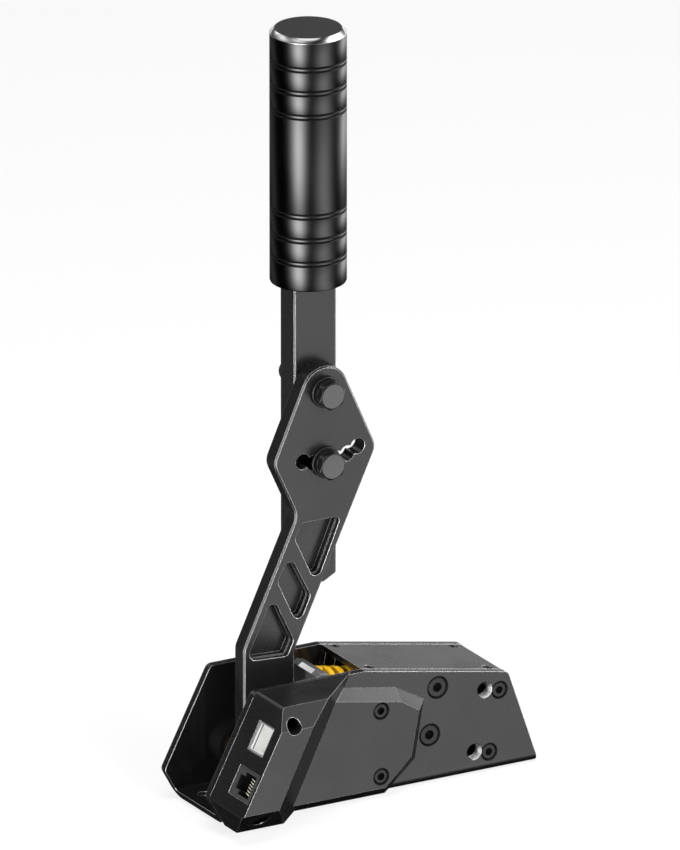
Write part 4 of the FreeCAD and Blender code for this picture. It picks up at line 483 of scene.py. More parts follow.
def enamel(name, colour, worn_colour):
    """Spring enamel: a smooth cloudy coat, chipped here and there along the wire's edges."""
    finish = Finish(name)
    cloud = finish.noise(120.0, 4.0)
    specks = finish.noise(900.0, 3.0, 0.7)
    mask, round_normal = finish.edges(0.0005)
    chipped = finish.times(mask, finish.span(specks, 0.5, 0.62, 0.0, 0.9))
    base = finish.mix(finish.span(cloud, *MIDST, 0.0, 0.6), colour, [c * 0.82 for c in colour])
    return finish.set(
        Base_Color=finish.mix(chipped, base, worn_colour),
        Roughness=finish.span(cloud, *MIDST, 0.28, 0.4),
        Normal=finish.bump(specks, 0.00002, 0.25, round_normal),
        Coat_Weight=0.3,
    )


def moulded(name, colour, roughness, grain=2200.0, specular=0.4):
    """Moulded plastic or rubber with a fine spark-eroded grain."""
    finish = Finish(name)
    cells = finish.add("ShaderNodeTexVoronoi", {"Vector": finish.place, "Scale": grain}).outputs["Distance"]
    cloud = finish.noise(45.0, 3.0)
    fine = finish.noise(grain * 0.6, 3.0)
    return finish.set(
        Base_Color=finish.mix(finish.span(fine, *MIDST, 0.0, 1.0), colour, [min(1.0, c * 1.25) for c in colour]),
        Roughness=finish.span(cloud, *MIDST, roughness - 0.04, roughness + 0.06),
        Specular_IOR_Level=specular,
        Normal=finish.bump(finish.calculate("ADD", cells, fine), 0.00003, 0.4),
    )


# over what depth one band of a socket's painted light and shade passes into the next
BAND_RIM = 0.12 * MM


def depth_painted_bands(name, node, bands, metallic=0.0):
    """A socket's body whose colour changes with depth behind the slanted front, painting its highlights and shade:
    bands of (depth, colour), in order.
    """
    finish = Finish(name)
    inwards = (math.cos(PORT_LEAN), 0.0, -math.sin(PORT_LEAN))
    start = float((mesh_points(node) @ np.array(inwards)).min())
    depth = finish.calculate("SUBTRACT", finish.measure("DOT_PRODUCT", finish.place, inwards), start)
    shade = bands[0][1]
    for reach, colour in bands[1:]:
        shade = finish.mix(finish.span(depth, reach, reach + BAND_RIM, 0.0, 1.0), shade, colour)
    fine = finish.noise(1800.0, 3.0)
    veil = finish.span(fine, *MIDST, 0.0, 0.12)
    return finish.set(
        Base_Color=finish.mix(veil, shade, (0.0, 0.0, 0.0)),
        Metallic=metallic,
        Roughness=finish.span(fine, *MIDST, 0.36, 0.44),
        Normal=finish.bump(fine, 0.000008, 0.4),
    )


def lacquered_board(name, colour):
    """Circuit board: dark lacquer over faint straight tracks."""
    finish = Finish(name)
    mapping = finish.add("ShaderNodeMapping", {"Vector": finish.place, "Rotation": (0.0, PORT_LEAN, 0.0)})
    tracks = finish.add(
        "ShaderNodeTexBrick",
        {"Vector": mapping.outputs[0], "Scale": 420.0, "Mortar Size": 0.06, "Mortar Smooth": 0.3, "Brick Width": 0.9},
    )
    glow = finish.span(tracks.outputs["Fac"], 0.0, 1.0, 0.0, 0.6)
    return finish.set(
        Base_Color=finish.mix(glow, colour, [min(1.0, c * 2.2) for c in colour]),
        Roughness=finish.span(finish.noise(150.0), *MIDST, 0.25, 0.4),
        Normal=finish.bump(tracks.outputs["Fac"], 0.00003, 0.5),
    )


def dress(material, *nodes):
    """Gives carried-over nodes of the frame a material."""
    for name in nodes:
        node = frame["nodes"][name]
        if node.material_slots:
            for slot in node.material_slots:
                slot.material = material
        else:
            node.data.materials.append(material)


# Sizes and colours that a user would change


class HandbrakeSizes(bpy.types.PropertyGroup):
    """Sizes of the pieces that are made here, in metres."""

    notch_depth: FloatProperty(
        name="Ring depth", description="Depth of the fine rings in the grip", default=0.55 * MM, unit="LENGTH"
    )
    notch_pair: FloatProperty(
        name="Ring pair", description="Distance between the two rings of a pair", default=1.76 * MM, unit="LENGTH"
    )
    bevel: FloatProperty(name="Grip bevel", description="Width of the bright bevel", default=2.0 * MM, unit="LENGTH")
    wire_width: FloatProperty(
        name="Wire width", description="Flat spring wire, across the coil", default=4.3 * MM, unit="LENGTH"
    )
    wire_height: FloatProperty(
        name="Wire height", description="Flat spring wire, along the coil", default=2.8 * MM, unit="LENGTH"
    )
    coils: IntProperty(name="Coils", description="Turns of the spring, with its two closed ends", default=8, min=3)
    floor_width: FloatProperty(name="Floor", description="Width of the floor", default=40.0, unit="LENGTH")


class HandbrakeColours(bpy.types.PropertyGroup):
    """Colours of the finishes."""

    coat: FloatVectorProperty(
        name="Coat", description="Black coat of the base and the lever", default=(0.007, 0.007, 0.0072), size=3,
        subtype="COLOR",
    )
    # the light edge colour: partly rubbed wear, partly a painted highlight along edges
    coat_edge_and_highlight: FloatVectorProperty(
        name="Rubbed edge and highlight", description="Coat where edges are rubbed, lightened as a painted highlight", default=(0.72, 0.72, 0.73), size=3,
        subtype="COLOR",
    )
    grip: FloatVectorProperty(
        name="Grip", description="Polished black grip", default=(0.052, 0.052, 0.053), size=3, subtype="COLOR"
    )
    bright: FloatVectorProperty(
        name="Bright cut", description="Freshly cut aluminium", default=(0.9, 0.9, 0.91), size=3, subtype="COLOR"
    )
    spring: FloatVectorProperty(
        name="Spring", description="Yellow spring enamel", default=(0.86, 0.5, 0.012), size=3, subtype="COLOR"
    )
    housing: FloatVectorProperty(
        name="Housing", description="Moulded side housing", default=(0.007, 0.007, 0.0072), size=3, subtype="COLOR"
    )


def sizes():
    """The sizes that the user may have changed."""
    return bpy.context.scene.handbrake_sizes


def colours():
    """The colours that the user may have changed."""
    return bpy.context.scene.handbrake_colours


# Places read from the frame


def middle(node):
    """The centre of a node's box."""
    low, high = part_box(node)
    return (low + high) / 2


def named(kind, name):
    """A joint or mount of the frame by its name."""
    found = frame["joints"] if kind == "joint" else frame["record"]["mounts"]
    return next(entry for entry in found if entry["name"] == name)


# how far below the highest point a screw's face is looked for, and the slope of the line through the two bores
FACE_DEPTH = 0.3 * MM
BORE_SLOPE = math.radians(79.5)
# the plunger's round nose: its radius and the height of its centre
NOSE_RADIUS = 6.0 * MM
NOSE_HEIGHT = 41.3 * MM


def spring_axis():
    """The nose's centre and the direction of the spring, from the plunger's slide and the plunger's box."""
    direction = Vector(named("joint", "plunger_slide")["axis"]).normalized()
    low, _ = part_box("plunger")
    return Vector((low.x + NOSE_RADIUS, 0, NOSE_HEIGHT)), direction


def laid_along(rows, direction):
    """Rows that were made along X, turned about Y to lie along a direction."""
    return rows @ np.array(Matrix.Rotation(math.asin(-direction.z), 3, "Y")).T


def mesh_points(name):
    """The points of a node's mesh as one array."""
    mesh = frame["nodes"][name].data
    points = np.zeros(len(mesh.vertices) * 3)
    mesh.vertices.foreach_get("co", points)
    return points.reshape(-1, 3)


def screw_faces(name, head, axis):
    """The middle of the outer face of each screw that faces along the axis, from the highest points of the mesh."""
    points = mesh_points(name)
    rise = points @ np.array(axis)
    rim = points[(rise > rise.max() - FACE_DEPTH) & (rise > 0)]
    found = []
    while len(rim):
        away = rim - rim[0]
        flat = away - (away @ np.array(axis))[:, None] * np.array(axis)
        near = np.linalg.norm(flat, axis=1) < head * 2.05
        between = (rim[near].min(0) + rim[near].max(0)) / 2
        found.append(Vector(between + (rise.max() - between @ np.array(axis)) * np.array(axis)))
        rim = rim[~near]
    return found


def seats(*names):
    """For each node of screws, the x and z of its near heads and the radius of the painted shade ring round each."""
    found = []
    for name in names:
        head = SCREWS[name][0] * MM
        found.append(([(face.x, face.z) for face in screw_faces(name, head, NEAR)], head + SEAT_RING))
    return found


def side_bores():
    """The x and z of the two side mounting holes, half a pitch circle each way along the line of the rear edge."""
    pattern = named("mount", "side_mounting_holes")
    x, _, z = pattern["pos_m"]
    half = pattern["dims"]["pcd_mm"] / 2 * MM
    return [(x + way * half * math.cos(BORE_SLOPE), z + way * half * math.sin(BORE_SLOPE)) for way in (-1, 1)]


# Pieces


# how far below the grip's top its six pairs of rings lie, in millimetres, and a ring's half width and lip
GRIP_RINGS = (98.1, 87.9, 77.5, 34.0, 23.7, 13.4)
RING_HALF = 0.42 * MM
RING_LIP = 0.08 * MM


def grip_profile(radius, length):
    """The grip's outline from the middle of its foot to the middle of its top, and each step's material."""
    values = sizes()
    depth, pair, bevel = values.notch_depth, values.notch_pair, values.bevel
    half, lip = RING_HALF, RING_LIP
    foot = ((3.0, 0), (0.8, 0), (0.25, 0.22), (0, 0.8))
    outline = [(0, 0)] + [(radius - inset * MM, height * MM) for inset, height in foot]
    finish = [0, 0, 0, 0]
    for down in GRIP_RINGS:
        for shift in (-pair / 2, pair / 2):
            z = length - down * MM + shift
            outline += [
                (radius, z - half - lip),
                (radius - lip * 0.4, z - half),
                (radius - depth, z - 0.05 * MM),
                (radius - depth, z + 0.05 * MM),
                (radius - lip * 0.4, z + half),
                (radius, z + half + lip),
            ]
            # the grooves take finish 3, the painted shade coat
            finish += [0, 3, 3, 3, 0, 0]
    outline += [
        (radius, length - bevel - 0.1 * MM),
        (radius - 0.06 * MM, length - bevel + 0.06 * MM),
        (radius - bevel + 0.1 * MM, length - 0.08 * MM),
        (radius - bevel - 0.05 * MM, length),
        (radius - bevel - 0.5 * MM, length),
        (0, length),
    ]
    finish += [0, 1, 1, 1, 2, 2]
    return outline, np.array(finish)


class HANDBRAKE_OT_grip(bpy.types.Operator):
    """Turned grip with six pairs of fine rings, a bright bevel and a flat top"""

    bl_idname = "handbrake.grip"
    bl_label = "Grip"

    def execute(self, context):
        low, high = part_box("grip")
        centre = Vector(((low.x + high.x) / 2, (low.y + high.y) / 2, low.z))
        outline, finish = grip_profile((high.x - low.x) / 2, high.z - low.z)
        shades = colours()
        black = turned_metal("grip_black", shades.grip, 0.2, centre, UP, depth=0.000002)
        bright = turned_metal("grip_bevel", shades.bright, 0.16, centre, UP)
        top = turned_metal("grip_top", [c * 0.72 for c in shades.grip], 0.34, centre, UP, metallic=0.2)
        rows = turned_rows(outline, centre, UP, 192)
        # painted shade: the grooves' walls and floors get a near-black, low-gloss coat
        groove_shade = black_coat("grip_notch_shade", (0.004, 0.004, 0.0041), (0.02, 0.02, 0.0205), 0.4, edge=0.0001, specular=0.15)
        make_piece("grip_turned", [(rows, finish)], "handle", [black, bright, top, groove_shade], ["grip"], 40.0)
        return {"FINISHED"}


# the die spring: outer radius, from the nose to its front end, length, gap at each end and rise of a closed turn
SPRING_RADIUS = 12.75 * MM
SPRING_SEAT = 4.5 * MM
SPRING_LENGTH = 42.0 * MM
SPRING_GAP = 0.1 * MM
CLOSED_RISE = 3.3 * MM
STEPS_PER_TURN = 72


class HANDBRAKE_OT_spring(bpy.types.Operator):
    """Die spring: a rounded flat section carried along a helix of one radius, with closed, ground ends"""

    bl_idname = "handbrake.spring"
    bl_label = "Spring"

    def execute(self, context):
        values = sizes()
        nose, direction = spring_axis()
        wide, high, turns = values.wire_width, values.wire_height, values.coils
        mean = SPRING_RADIUS - wide / 2
        t = np.linspace(0, turns, turns * STEPS_PER_TURN + 1)
        rise = SPRING_LENGTH - high - 2 * SPRING_GAP
        if (rise - 2 * CLOSED_RISE) / (turns - 2) <= high:
            raise RuntimeError("the coils would touch")
        height = np.interp(t, [0, 1, turns - 1, turns], [0, CLOSED_RISE, rise - CLOSED_RISE, rise])
        ease = np.convolve(np.pad(height, 12, "reflect", reflect_type="odd"), np.ones(25) / 25, "valid")
        angle = 2 * math.pi * t
        out = np.stack([np.zeros_like(t), np.sin(angle), np.cos(angle)], axis=1)
        path = out * mean + np.stack([ease + high / 2 + SPRING_GAP, 0 * t, 0 * t], axis=1)
        rows = capped(swept_rows(path, out, rounded_section(wide, high, 0.55 * MM)))
        # the ground ends
        rows[..., 0] = np.clip(rows[..., 0], SPRING_GAP / 2, SPRING_LENGTH - SPRING_GAP / 2)
        rows = laid_along(rows, direction) + np.array(nose + direction * SPRING_SEAT)
        shades = colours()
        paint = enamel("spring_enamel", shades.spring, (0.3, 0.22, 0.1))
        piece = make_piece("spring_wire", [(rows[:, ::-1], 0)], "base", [paint], ["spring"], 50.0)
        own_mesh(piece)
        return {"FINISHED"}


# the plunger behind its nose, as (radius, distance behind the nose's centre) in millimetres
PLUNGER_OUTLINE = (
    (6.0, 0.4), (11.9, 0.4), (12.4, 0.6), (12.6, 0.9), (12.6, 4.2), (12.4, 4.5), (8.6, 4.5), (8.2, 4.6),
    (8.1, 4.9), (8.1, 9.0), (7.9, 9.6), (7.1, 10.0), (4.6, 10.0), (4.15, 10.1), (4.0, 10.4), (4.0, 57.1),
    (3.2, 57.1), (3.2, 58.2), (4.0, 58.2), (4.0, 58.7), (3.5, 59.2), (0, 59.2),
)
# the pressure plate's section along and across the spring, its half width and its bevel, in millimetres
PLATE_SECTION = ((3.5, -11.0), (3.5, 13.0), (3.3, 13.2), (0.2, 13.2), (-1.4, 11.6), (-1.4, -9.4), (0.2, -11.0))
PLATE_HALF, PLATE_BEVEL = 11.0, 0.5
# the plate's painted highlight: bright steel on only the middle of the bevel at its upper front edge, as a step and a
# column of the grid
PLATE_HIGHLIGHT = (3, 2)
# the bump stop: both ends and number of its ribs, bore, flat rim, mean, wave and largest radius, in millimetres
STOP_ENDS, STOP_RIBS = (18.9, 46.5), 3
STOP_BORE, STOP_RIM, STOP_MEAN, STOP_WAVE, STOP_LARGEST = 4.5, 5.0, 7.15, 0.6, 7.7


class HANDBRAKE_OT_plunger(bpy.types.Operator):
    """Spring seat with a round nose, pressure plate and rod, and the bump stop, whose radius is a wave along it"""

    bl_idname = "handbrake.plunger"
    bl_label = "Plunger and bump stop"

    def execute(self, context):
        nose, direction = spring_axis()
        steel = turned_metal("plunger_steel", (0.62, 0.62, 0.63), 0.24, nose, direction)
        outline = [
            (NOSE_RADIUS * math.sin(a), -NOSE_RADIUS * math.cos(a)) for a in np.linspace(0, math.pi / 2, 14)
        ]
        outline += [(r * MM, h * MM) for r, h in PLUNGER_OUTLINE]
        rows = turned_rows(outline, nose, direction)
        burnished = black_coat("plate_burnished", (0.06, 0.06, 0.062), (0.5, 0.5, 0.51), 0.4, edge=0.0003)
        plate = bevelled_rows(np.array(PLATE_SECTION) * MM, PLATE_HALF * MM, PLATE_BEVEL * MM)
        plate = (laid_along(plate, direction) + np.array(nose))[:, ::-1]
        sides = np.ones((len(plate) - 1, len(PLATE_SECTION)), int)
        # painted highlight: this one face takes the bright steel, the rest of the bevel stays dark
        sides[PLATE_HIGHLIGHT] = 0
        parts = [(rows, 0), (plate, sides)]
        make_piece("plunger_turned", parts, "plunger", [steel, burnished], ["plunger"])
        rubber = moulded("bump_rubber", (0.02, 0.02, 0.021), 0.62, 1600.0)
        front, back = STOP_ENDS
        h = np.linspace(front, back, 97)
        wave = STOP_MEAN + STOP_WAVE * np.cos(2 * math.pi * (h - front) / ((back - front) / STOP_RIBS))
        wave = np.clip(wave, None, STOP_LARGEST)
        outline = [(STOP_BORE, front), (STOP_RIM, front), *zip(wave, h), (STOP_BORE, back), (STOP_BORE, front)]
        rows = turned_rows([(r * MM, a * MM) for r, a in outline], nose, direction, 72)
        make_piece("bump_stop_ribbed", [(rows, 0)], "base", [rubber], ["bump_stop"])
        return {"FINISHED"}


def bolt_rows(face, axis, flats, height, across_face):
    """A hexagon head: its ring is the hexagon cut by a cone that ends in the round face."""
    half, corner = flats / 2, flats / 2 / math.cos(math.radians(30))
    rows = [
        (POLE, -height), (half - 0.4 * MM, -height),
        (half - 0.1 * MM, -height + 0.15 * MM, "hexagon", corner - 0.5 * MM),
    ]
    start = (corner - across_face) * math.tan(math.radians(32))
    for share in np.linspace(0, 1, 8):
        z = -start * (1 - share)
        rows.append((half, z, "hexagon", across_face + (corner - across_face) * (1 - share)))
    rows += [(across_face - 0.06 * MM, 0.0), (across_face * 0.5, 0.0), (POLE, 0.0)]
    return shaped_rows(rows, face, axis, 120)


def nut_rows(face, axis, flats, height, bore, dome, rise):
    """A cap nut from its bore outwards: a hexagon with round chamfers and a dome, r = R cos a, h = top + R sin a."""
    half, corner = flats / 2, flats / 2 / math.cos(math.radians(30))
    rows = [(POLE, height - 0.5 * MM), (bore, height - 0.6 * MM), (bore, 0.0), (half - 0.2 * MM, 0.0)]
    rows += [(half, 0.3 * MM, "hexagon", corner - 0.4 * MM), (half, 0.7 * MM, "hexagon", corner)]
    for share in np.linspace(0, 1, 6):
        rows.append((half, height - 0.7 * MM * (1 - share), "hexagon", corner - (corner - half + 0.1 * MM) * share))
    rows += [(dome + 0.1 * MM, height), (dome, height + 0.15 * MM)]
    for a in np.linspace(0, math.pi / 2, 14):
        rows.append((max(dome * math.cos(a), POLE), height + rise + dome * math.sin(a)))
    return shaped_rows(rows, face, axis, 120)


def washer_rows(face, axis, radius, thick, bore):
    """A flat ring with rounded rims, from its bore round its back, rim and face."""
    rim = min(0.25 * MM, thick / 3)
    outline = [(bore, 0), (radius - rim, 0), (radius, rim), (radius, thick - rim), (radius - rim, thick), (bore, thick)]
    return turned_rows(outline + outline[:1], face, axis)


def split_washer_rows(face, axis, radius, thick, bore):
    """A spring washer: a rectangle swept 348 degrees about the axis, with its two ends a little apart."""
    along, out = circle(axis, np.radians(np.linspace(6, 354, 90)))
    path = np.array(face) + along * thick / 2 + out * (radius + bore) / 2
    return capped(swept_rows(path, out, rounded_section(radius - bore, thick * 0.94, 0.15 * MM, 3)))[:, ::-1]


# each bolt's shank radius, and the measures that both share: head across flats, its height and the radius of its face
SHANKS = {"tilt": 3.0 * MM, "lock": 2.0 * MM}
BOLT_FLATS, BOLT_HEIGHT, BOLT_FACE = 11.0 * MM, 4.0 * MM, 5.2 * MM
BOLT_PLAY = 0.03 * MM
# the thread's length, number of grooves and their pitch and depth
THREAD_LENGTH, THREAD_GROOVES, THREAD_PITCH, THREAD_DEPTH = 9.0 * MM, 8, 1.0 * MM, 0.45 * MM
# the faces that the washers lie on, along Y
NEAR_FACE, FAR_FACE = -4.1 * MM, 16.1 * MM
WASHER_RADIUS, WASHER_THICK = 6.75 * MM, 1.5 * MM
SPLIT_RADIUS, SPLIT_THICK = 5.6 * MM, 1.4 * MM
NUT_FLATS, NUT_HEIGHT, NUT_DOME, NUT_RISE = 10.0 * MM, 6.5 * MM, 4.75 * MM, 1.2 * MM


def thread_outline(shank, reach):
    """The outline of a bolt's shank from its free end: grooves, then plain up to its head."""
    outline = [(0, 0), (shank - 0.4 * MM, 0), (shank, 0.4 * MM)]
    for number in range(THREAD_GROOVES):
        z = (0.5 + number) * THREAD_PITCH
        outline += [(shank, z), (shank - THREAD_DEPTH, z + THREAD_PITCH / 2)]
    return outline + [(shank, THREAD_LENGTH), (shank, reach), (0, reach)]


class HANDBRAKE_OT_bolts(bpy.types.Operator):
    """Tilt bolt and lock bolt with their washers and cap nuts"""

    bl_idname = "handbrake.bolts"
    bl_label = "Bolts, washers and nuts"

    def execute(self, context):
        for name, shank in SHANKS.items():
            low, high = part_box(f"{name}_bolt")
            centre = middle(f"{name}_bolt")

            def at(y):
                """A point on the bolt's axis."""
                return centre.x, y, centre.z

            steel = turned_metal(f"{name}_bolt_steel", (0.095, 0.095, 0.097), 0.3, at(low.y), NEAR)
            dark = black_coat(
                f"{name}_washer_black", (0.006, 0.006, 0.0062), (0.2, 0.2, 0.205), 0.36, edge=0.00012, specular=0.22
            )
            head = bolt_rows(at(low.y), NEAR, BOLT_FLATS, BOLT_HEIGHT, BOLT_FACE)
            # only the last two steps, the round face, are burnished
            faces = np.array([1] * (len(head) - 3) + [0, 0])
            rod = turned_rows(thread_outline(shank, high.y - low.y - BOLT_HEIGHT), at(high.y), NEAR, 48)
            parts = [(head, faces), (rod, 1)]
            make_piece(f"{name}_bolt_hexagon", parts, "handle", [steel, dark], [f"{name}_bolt"])
            bore = shank + BOLT_PLAY
            split = split_washer_rows(at(NEAR_FACE - WASHER_THICK), NEAR, SPLIT_RADIUS, SPLIT_THICK, bore)
            washers = [
                (washer_rows(at(NEAR_FACE), NEAR, WASHER_RADIUS, WASHER_THICK, bore), 0),
                (split, 0),
                (washer_rows(at(FAR_FACE), FAR, WASHER_RADIUS, WASHER_THICK, bore), 0),
            ]
            make_piece(f"{name}_washer_set", washers, "handle", [dark], [f"{name}_washers"])
            nut = nut_rows(at(FAR_FACE + WASHER_THICK), FAR, NUT_FLATS, NUT_HEIGHT, shank, NUT_DOME, NUT_RISE)
            make_piece(f"{name}_cap_nut", [(nut, 0)], "handle", [dark], [f"{name}_nut"])
        return {"FINISHED"}


def socket_screw_rows(face, axis, head, height, lobes, depth):
    """A flat head with a rounded rim and a recess: rings run from its back, over its face, into the recess."""
    rim = min(0.45 * MM, height / 3)
    rows = [(POLE, -height), (head - 0.1 * MM, -height), (head, -height + 0.1 * MM), (head, -rim)]
    for a in np.linspace(0.2, math.pi / 2, 6):
        rows.append((head - rim + rim * math.cos(a), -rim + rim * math.sin(a)))
    rows += [(lobes * 1.3, 0.0), (lobes * 1.18, -0.02 * MM)]
    rows += [(lobes, -0.15 * MM, "lobes"), (lobes, -depth, "lobes")]
    rows += [(lobes * 0.5, -depth - 0.15 * MM), (POLE, -depth - 0.3 * MM)]
    return shaped_rows(rows, face, axis, 72)


# for each set of screws, in millimetres: head's radius and height, recess, shank's radius and reach below the face,
# and how many screws there are
SCREWS = {
    "block_screws": (4.6, 2.0, 1.75, 2.5, 13.0, 4),
    "rear_screws": (3.55, 1.6, 1.4, 2.0, 9.6, 4),
    "panel_screws": (3.4, 2.0, 1.4, 1.5, 7.5, 2),
    "pod_screws": (2.8, 2.0, 1.1, 1.5, 9.0, 2),
    "cover_screws": (2.3, 1.4, 0.8, 1.25, 5.8, 4),
}
HEAD_PLAY = 0.3 * MM
SHANK_BEVEL = 0.3 * MM
RECESS_DEPTH = 0.62
# the last steps of a screw's outline, which line its recess and carry its painted shade
RECESS_STEPS = 4


class HANDBRAKE_OT_screws(bpy.types.Operator):
    """Flat screws with six-lobed recesses, in the walls, the side panel and the cover"""

    bl_idname = "handbrake.screws"
    bl_label = "Screws"

    def execute(self, context):
        steel = black_coat(
            "screw_black", (0.006, 0.006, 0.0061), (0.2, 0.2, 0.203), 0.36, grain=2500.0, edge=0.0002, specular=0.36
        )
        # painted shade: the recess in each screw head is near black and barely glossy
        recess = moulded("screw_recess_shade", (0.0015, 0.0015, 0.0015), 0.7, specular=0.1)
        square = spring_axis()[1].cross(FAR)
        for name, (*measures, count) in SCREWS.items():
            head, height, lobes, shank, reach = (value * MM for value in measures)
            outline = [(0, -reach), (shank - SHANK_BEVEL, -reach), (shank, SHANK_BEVEL - reach), (shank, -height)]
            outline.append((0, -height))
            parts = []
            for axis in (square,) if name == "cover_screws" else (NEAR, FAR):
                for face in screw_faces(name, head, axis):
                    rows = socket_screw_rows(face, axis, head - HEAD_PLAY, height, lobes, height * RECESS_DEPTH)
                    inside = (np.arange(len(rows) - 1) >= len(rows) - 1 - RECESS_STEPS).astype(int)
                    parts += [(rows, inside), (turned_rows(outline, face, axis, 32), 0)]
            if len(parts) != count * 2:
                raise RuntimeError(f"{name}: a screw wasn't found")
            make_piece(f"{name}_set", parts, "base", [steel, recess], [name])
        return {"FINISHED"}


# the jack's contact wires: number, pitch, section, and for both ends the depth behind the front and the place across
WIRES, WIRE_PITCH, WIRE_SECTION = 6, 1.27 * MM, (0.42 * MM, 0.3 * MM, 0.1 * MM)
WIRE_DEPTH = (0.5 * MM, 2.9 * MM)
WIRE_ACROSS = (3.1 * MM, 8.7 * MM)


class HANDBRAKE_OT_contacts(bpy.types.Operator):
    """Six slanted contact wires in the cable jack, each a small section carried along a straight line"""

    bl_idname = "handbrake.contacts"
    bl_label = "Jack contacts"

    def execute(self, context):
        low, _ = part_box("jack_housing")
        inwards = Vector((math.cos(PORT_LEAN), 0, -math.sin(PORT_LEAN)))
        down = Vector((-math.sin(PORT_LEAN), 0, -math.cos(PORT_LEAN)))
        front = float((mesh_points("jack_housing") @ np.array(inwards)).min())
        level = middle("jack_contacts").dot(down)
        gold = ground_metal("contact_gold", (0.9, 0.85, 0.72), 0.4, metallic=0.3)
        depth, across = (np.linspace(*ends, 17) for ends in (WIRE_DEPTH, WIRE_ACROSS))
        lift = np.tile(np.array(down), (len(depth), 1))
        parts = []
        for number in range(WIRES):
            drop = level + (number - (WIRES - 1) / 2) * WIRE_PITCH
            path = np.array(inwards) * (front + depth)[:, None] + np.array(down) * drop
            path[:, 1] = low.y + across
            parts.append((capped(swept_rows(path, lift, rounded_section(*WIRE_SECTION, 3)))[:, ::-1], 0))
        make_piece("jack_contact_wires", parts, "base", [gold], ["jack_contacts"])
        return {"FINISHED"}


class HANDBRAKE_OT_finishes(bpy.types.Operator):
    """Coats, metals, plastics and rubber on the nodes of the frame"""

    bl_idname = "handbrake.finishes"
    bl_label = "Finishes"

    def execute(self, context):
        shades = colours()
        bores = side_bores()
        walls = seats("block_screws", "rear_screws")
        coat = black_coat("base_coat", shades.coat, shades.coat_edge_and_highlight, 0.27, bores=bores, seats=walls, inner=INNER_FACE)
        dress(coat, "chassis")
        dress(black_coat("cover_coat", shades.coat, shades.coat_edge_and_highlight, 0.27), "top_cover", "cover_tabs")
        # the lever's brighter edge colour: partly wear, partly a painted highlight
        lever_edge_and_highlight = [c * 1.35 for c in shades.coat_edge_and_highlight]
        face = float(mesh_points("lever_arm")[:, 1].min())
        dress(black_coat("lever_coat", shades.coat, lever_edge_and_highlight, 0.3, front=face), "lever_arm")
        dress(black_coat("handle_coat", shades.coat, lever_edge_and_highlight, 0.3), "handle_bar")
        # the housing's edge colour: partly wear, partly a painted highlight
        housing_edge_and_highlight = [c * 0.8 for c in shades.coat_edge_and_highlight]
        panel = seats("panel_screws")
        housing = black_coat("housing_grain", shades.housing, housing_edge_and_highlight, 0.29, 2200.0, 0.00001, seats=panel)
        dress(housing, "side_housing")
        # jack: a lighter front, then darker deeper inside: painted shade
        bands = [(0.0, (0.04, 0.04, 0.041)), (0.5 * MM, (0.006, 0.006, 0.0061))]
        dress(depth_painted_bands("jack_plastic_painted_shade", "jack_housing", bands), "jack_housing")
        dress(moulded("insert_plastic", (0.88, 0.88, 0.87), 0.35, specular=0.5), "usb_insert")
        # USB shell: grey front rim, a painted highlight band along the inner edge, a painted shade line, then bright
        # walls
        bands = [
            (0.0, (0.3, 0.3, 0.3)), (0.4 * MM, (0.95, 0.95, 0.95)),
            (1.3 * MM, (0.1, 0.1, 0.1)), (1.9 * MM, (0.97, 0.97, 0.95)),
        ]
        dress(depth_painted_bands("socket_shell_painted_light", "usb_shell", bands, 0.1), "usb_shell")
        dress(black_coat("rear_block_coat", shades.coat, shades.coat_edge_and_highlight, 0.3, bores=bores), "rear_block")
        dress(ground_metal("block_aluminium", (0.66, 0.66, 0.67), 0.3, (1.0, 30.0, 1.0)), "spring_block")
        dress(ground_metal("bearing_bronze", (0.62, 0.42, 0.2), 0.32), "guide_bush", "board_spacers")
        dress(ground_metal("oiled_bronze", (0.1, 0.07, 0.035), 0.3), "pivot_bushes")
        dress(ground_metal("shaft_steel", (0.6, 0.6, 0.61), 0.26), "pivot_shaft", "grip_stud", "rod_clip")
        dress(ground_metal("small_screw_steel", (0.55, 0.55, 0.56), 0.3), "board_screws")
        dress(ground_metal("magnet_nickel", (0.7, 0.68, 0.64), 0.2), "angle_magnet")
        dress(moulded("sleeve_plastic", (0.05, 0.05, 0.052), 0.5), "hub_sleeves")
        dress(moulded("pad_rubber", (0.02, 0.02, 0.021), 0.65, 1500.0), "rest_pad")
        dress(lacquered_board("board_lacquer", (0.012, 0.09, 0.035)), "circuit_board", "sensor_board")
        return {"FINISHED"}


class HANDBRAKE_OT_stage(bpy.types.Operator):
    """White floor, plain soft lamps, a dim tent for the gloss and the camera"""

    bl_idname = "handbrake.stage"
    bl_label = "Studio"

    def execute(self, context):
        scene = context.scene
        scene.view_settings.view_transform = "Standard"
        build_floor(CAD_BOX[0].z)
        build_tent()
        build_world(scene)
        build_lamps()
        build_camera(scene)
        return {"FINISHED"}


def bare_net(holder):
    """The emptied node tree of a new material or world."""
    holder.use_nodes = True
    holder.node_tree.nodes.clear()
    return Net(holder.node_tree)


def stage_piece(name, points, faces, net_of):
    """A mesh of the studio with a material of its own, whose surface is what net_of makes."""
    mesh = bpy.data.meshes.new(name)
    mesh.from_pydata(points, [], faces)
    piece = bpy.data.objects.new(name, mesh)
    bpy.context.scene.collection.objects.link(piece)
    material = bpy.data.materials.new(f"{name}_finish")
    net = bare_net(material)
    net.add("ShaderNodeOutputMaterial", {"Surface": net_of(net)})
    mesh.materials.append(material)
    return piece


# greys of the floor for the eye and for the rest of the light, and the share of plain glow in the first
FLOOR_PAPER = (0.85, 0.85, 0.85)
FLOOR_QUIET = (0.4, 0.4, 0.4)
FLOOR_GLOW = 0.78
WHITE = (1.0, 1.0, 1.0)


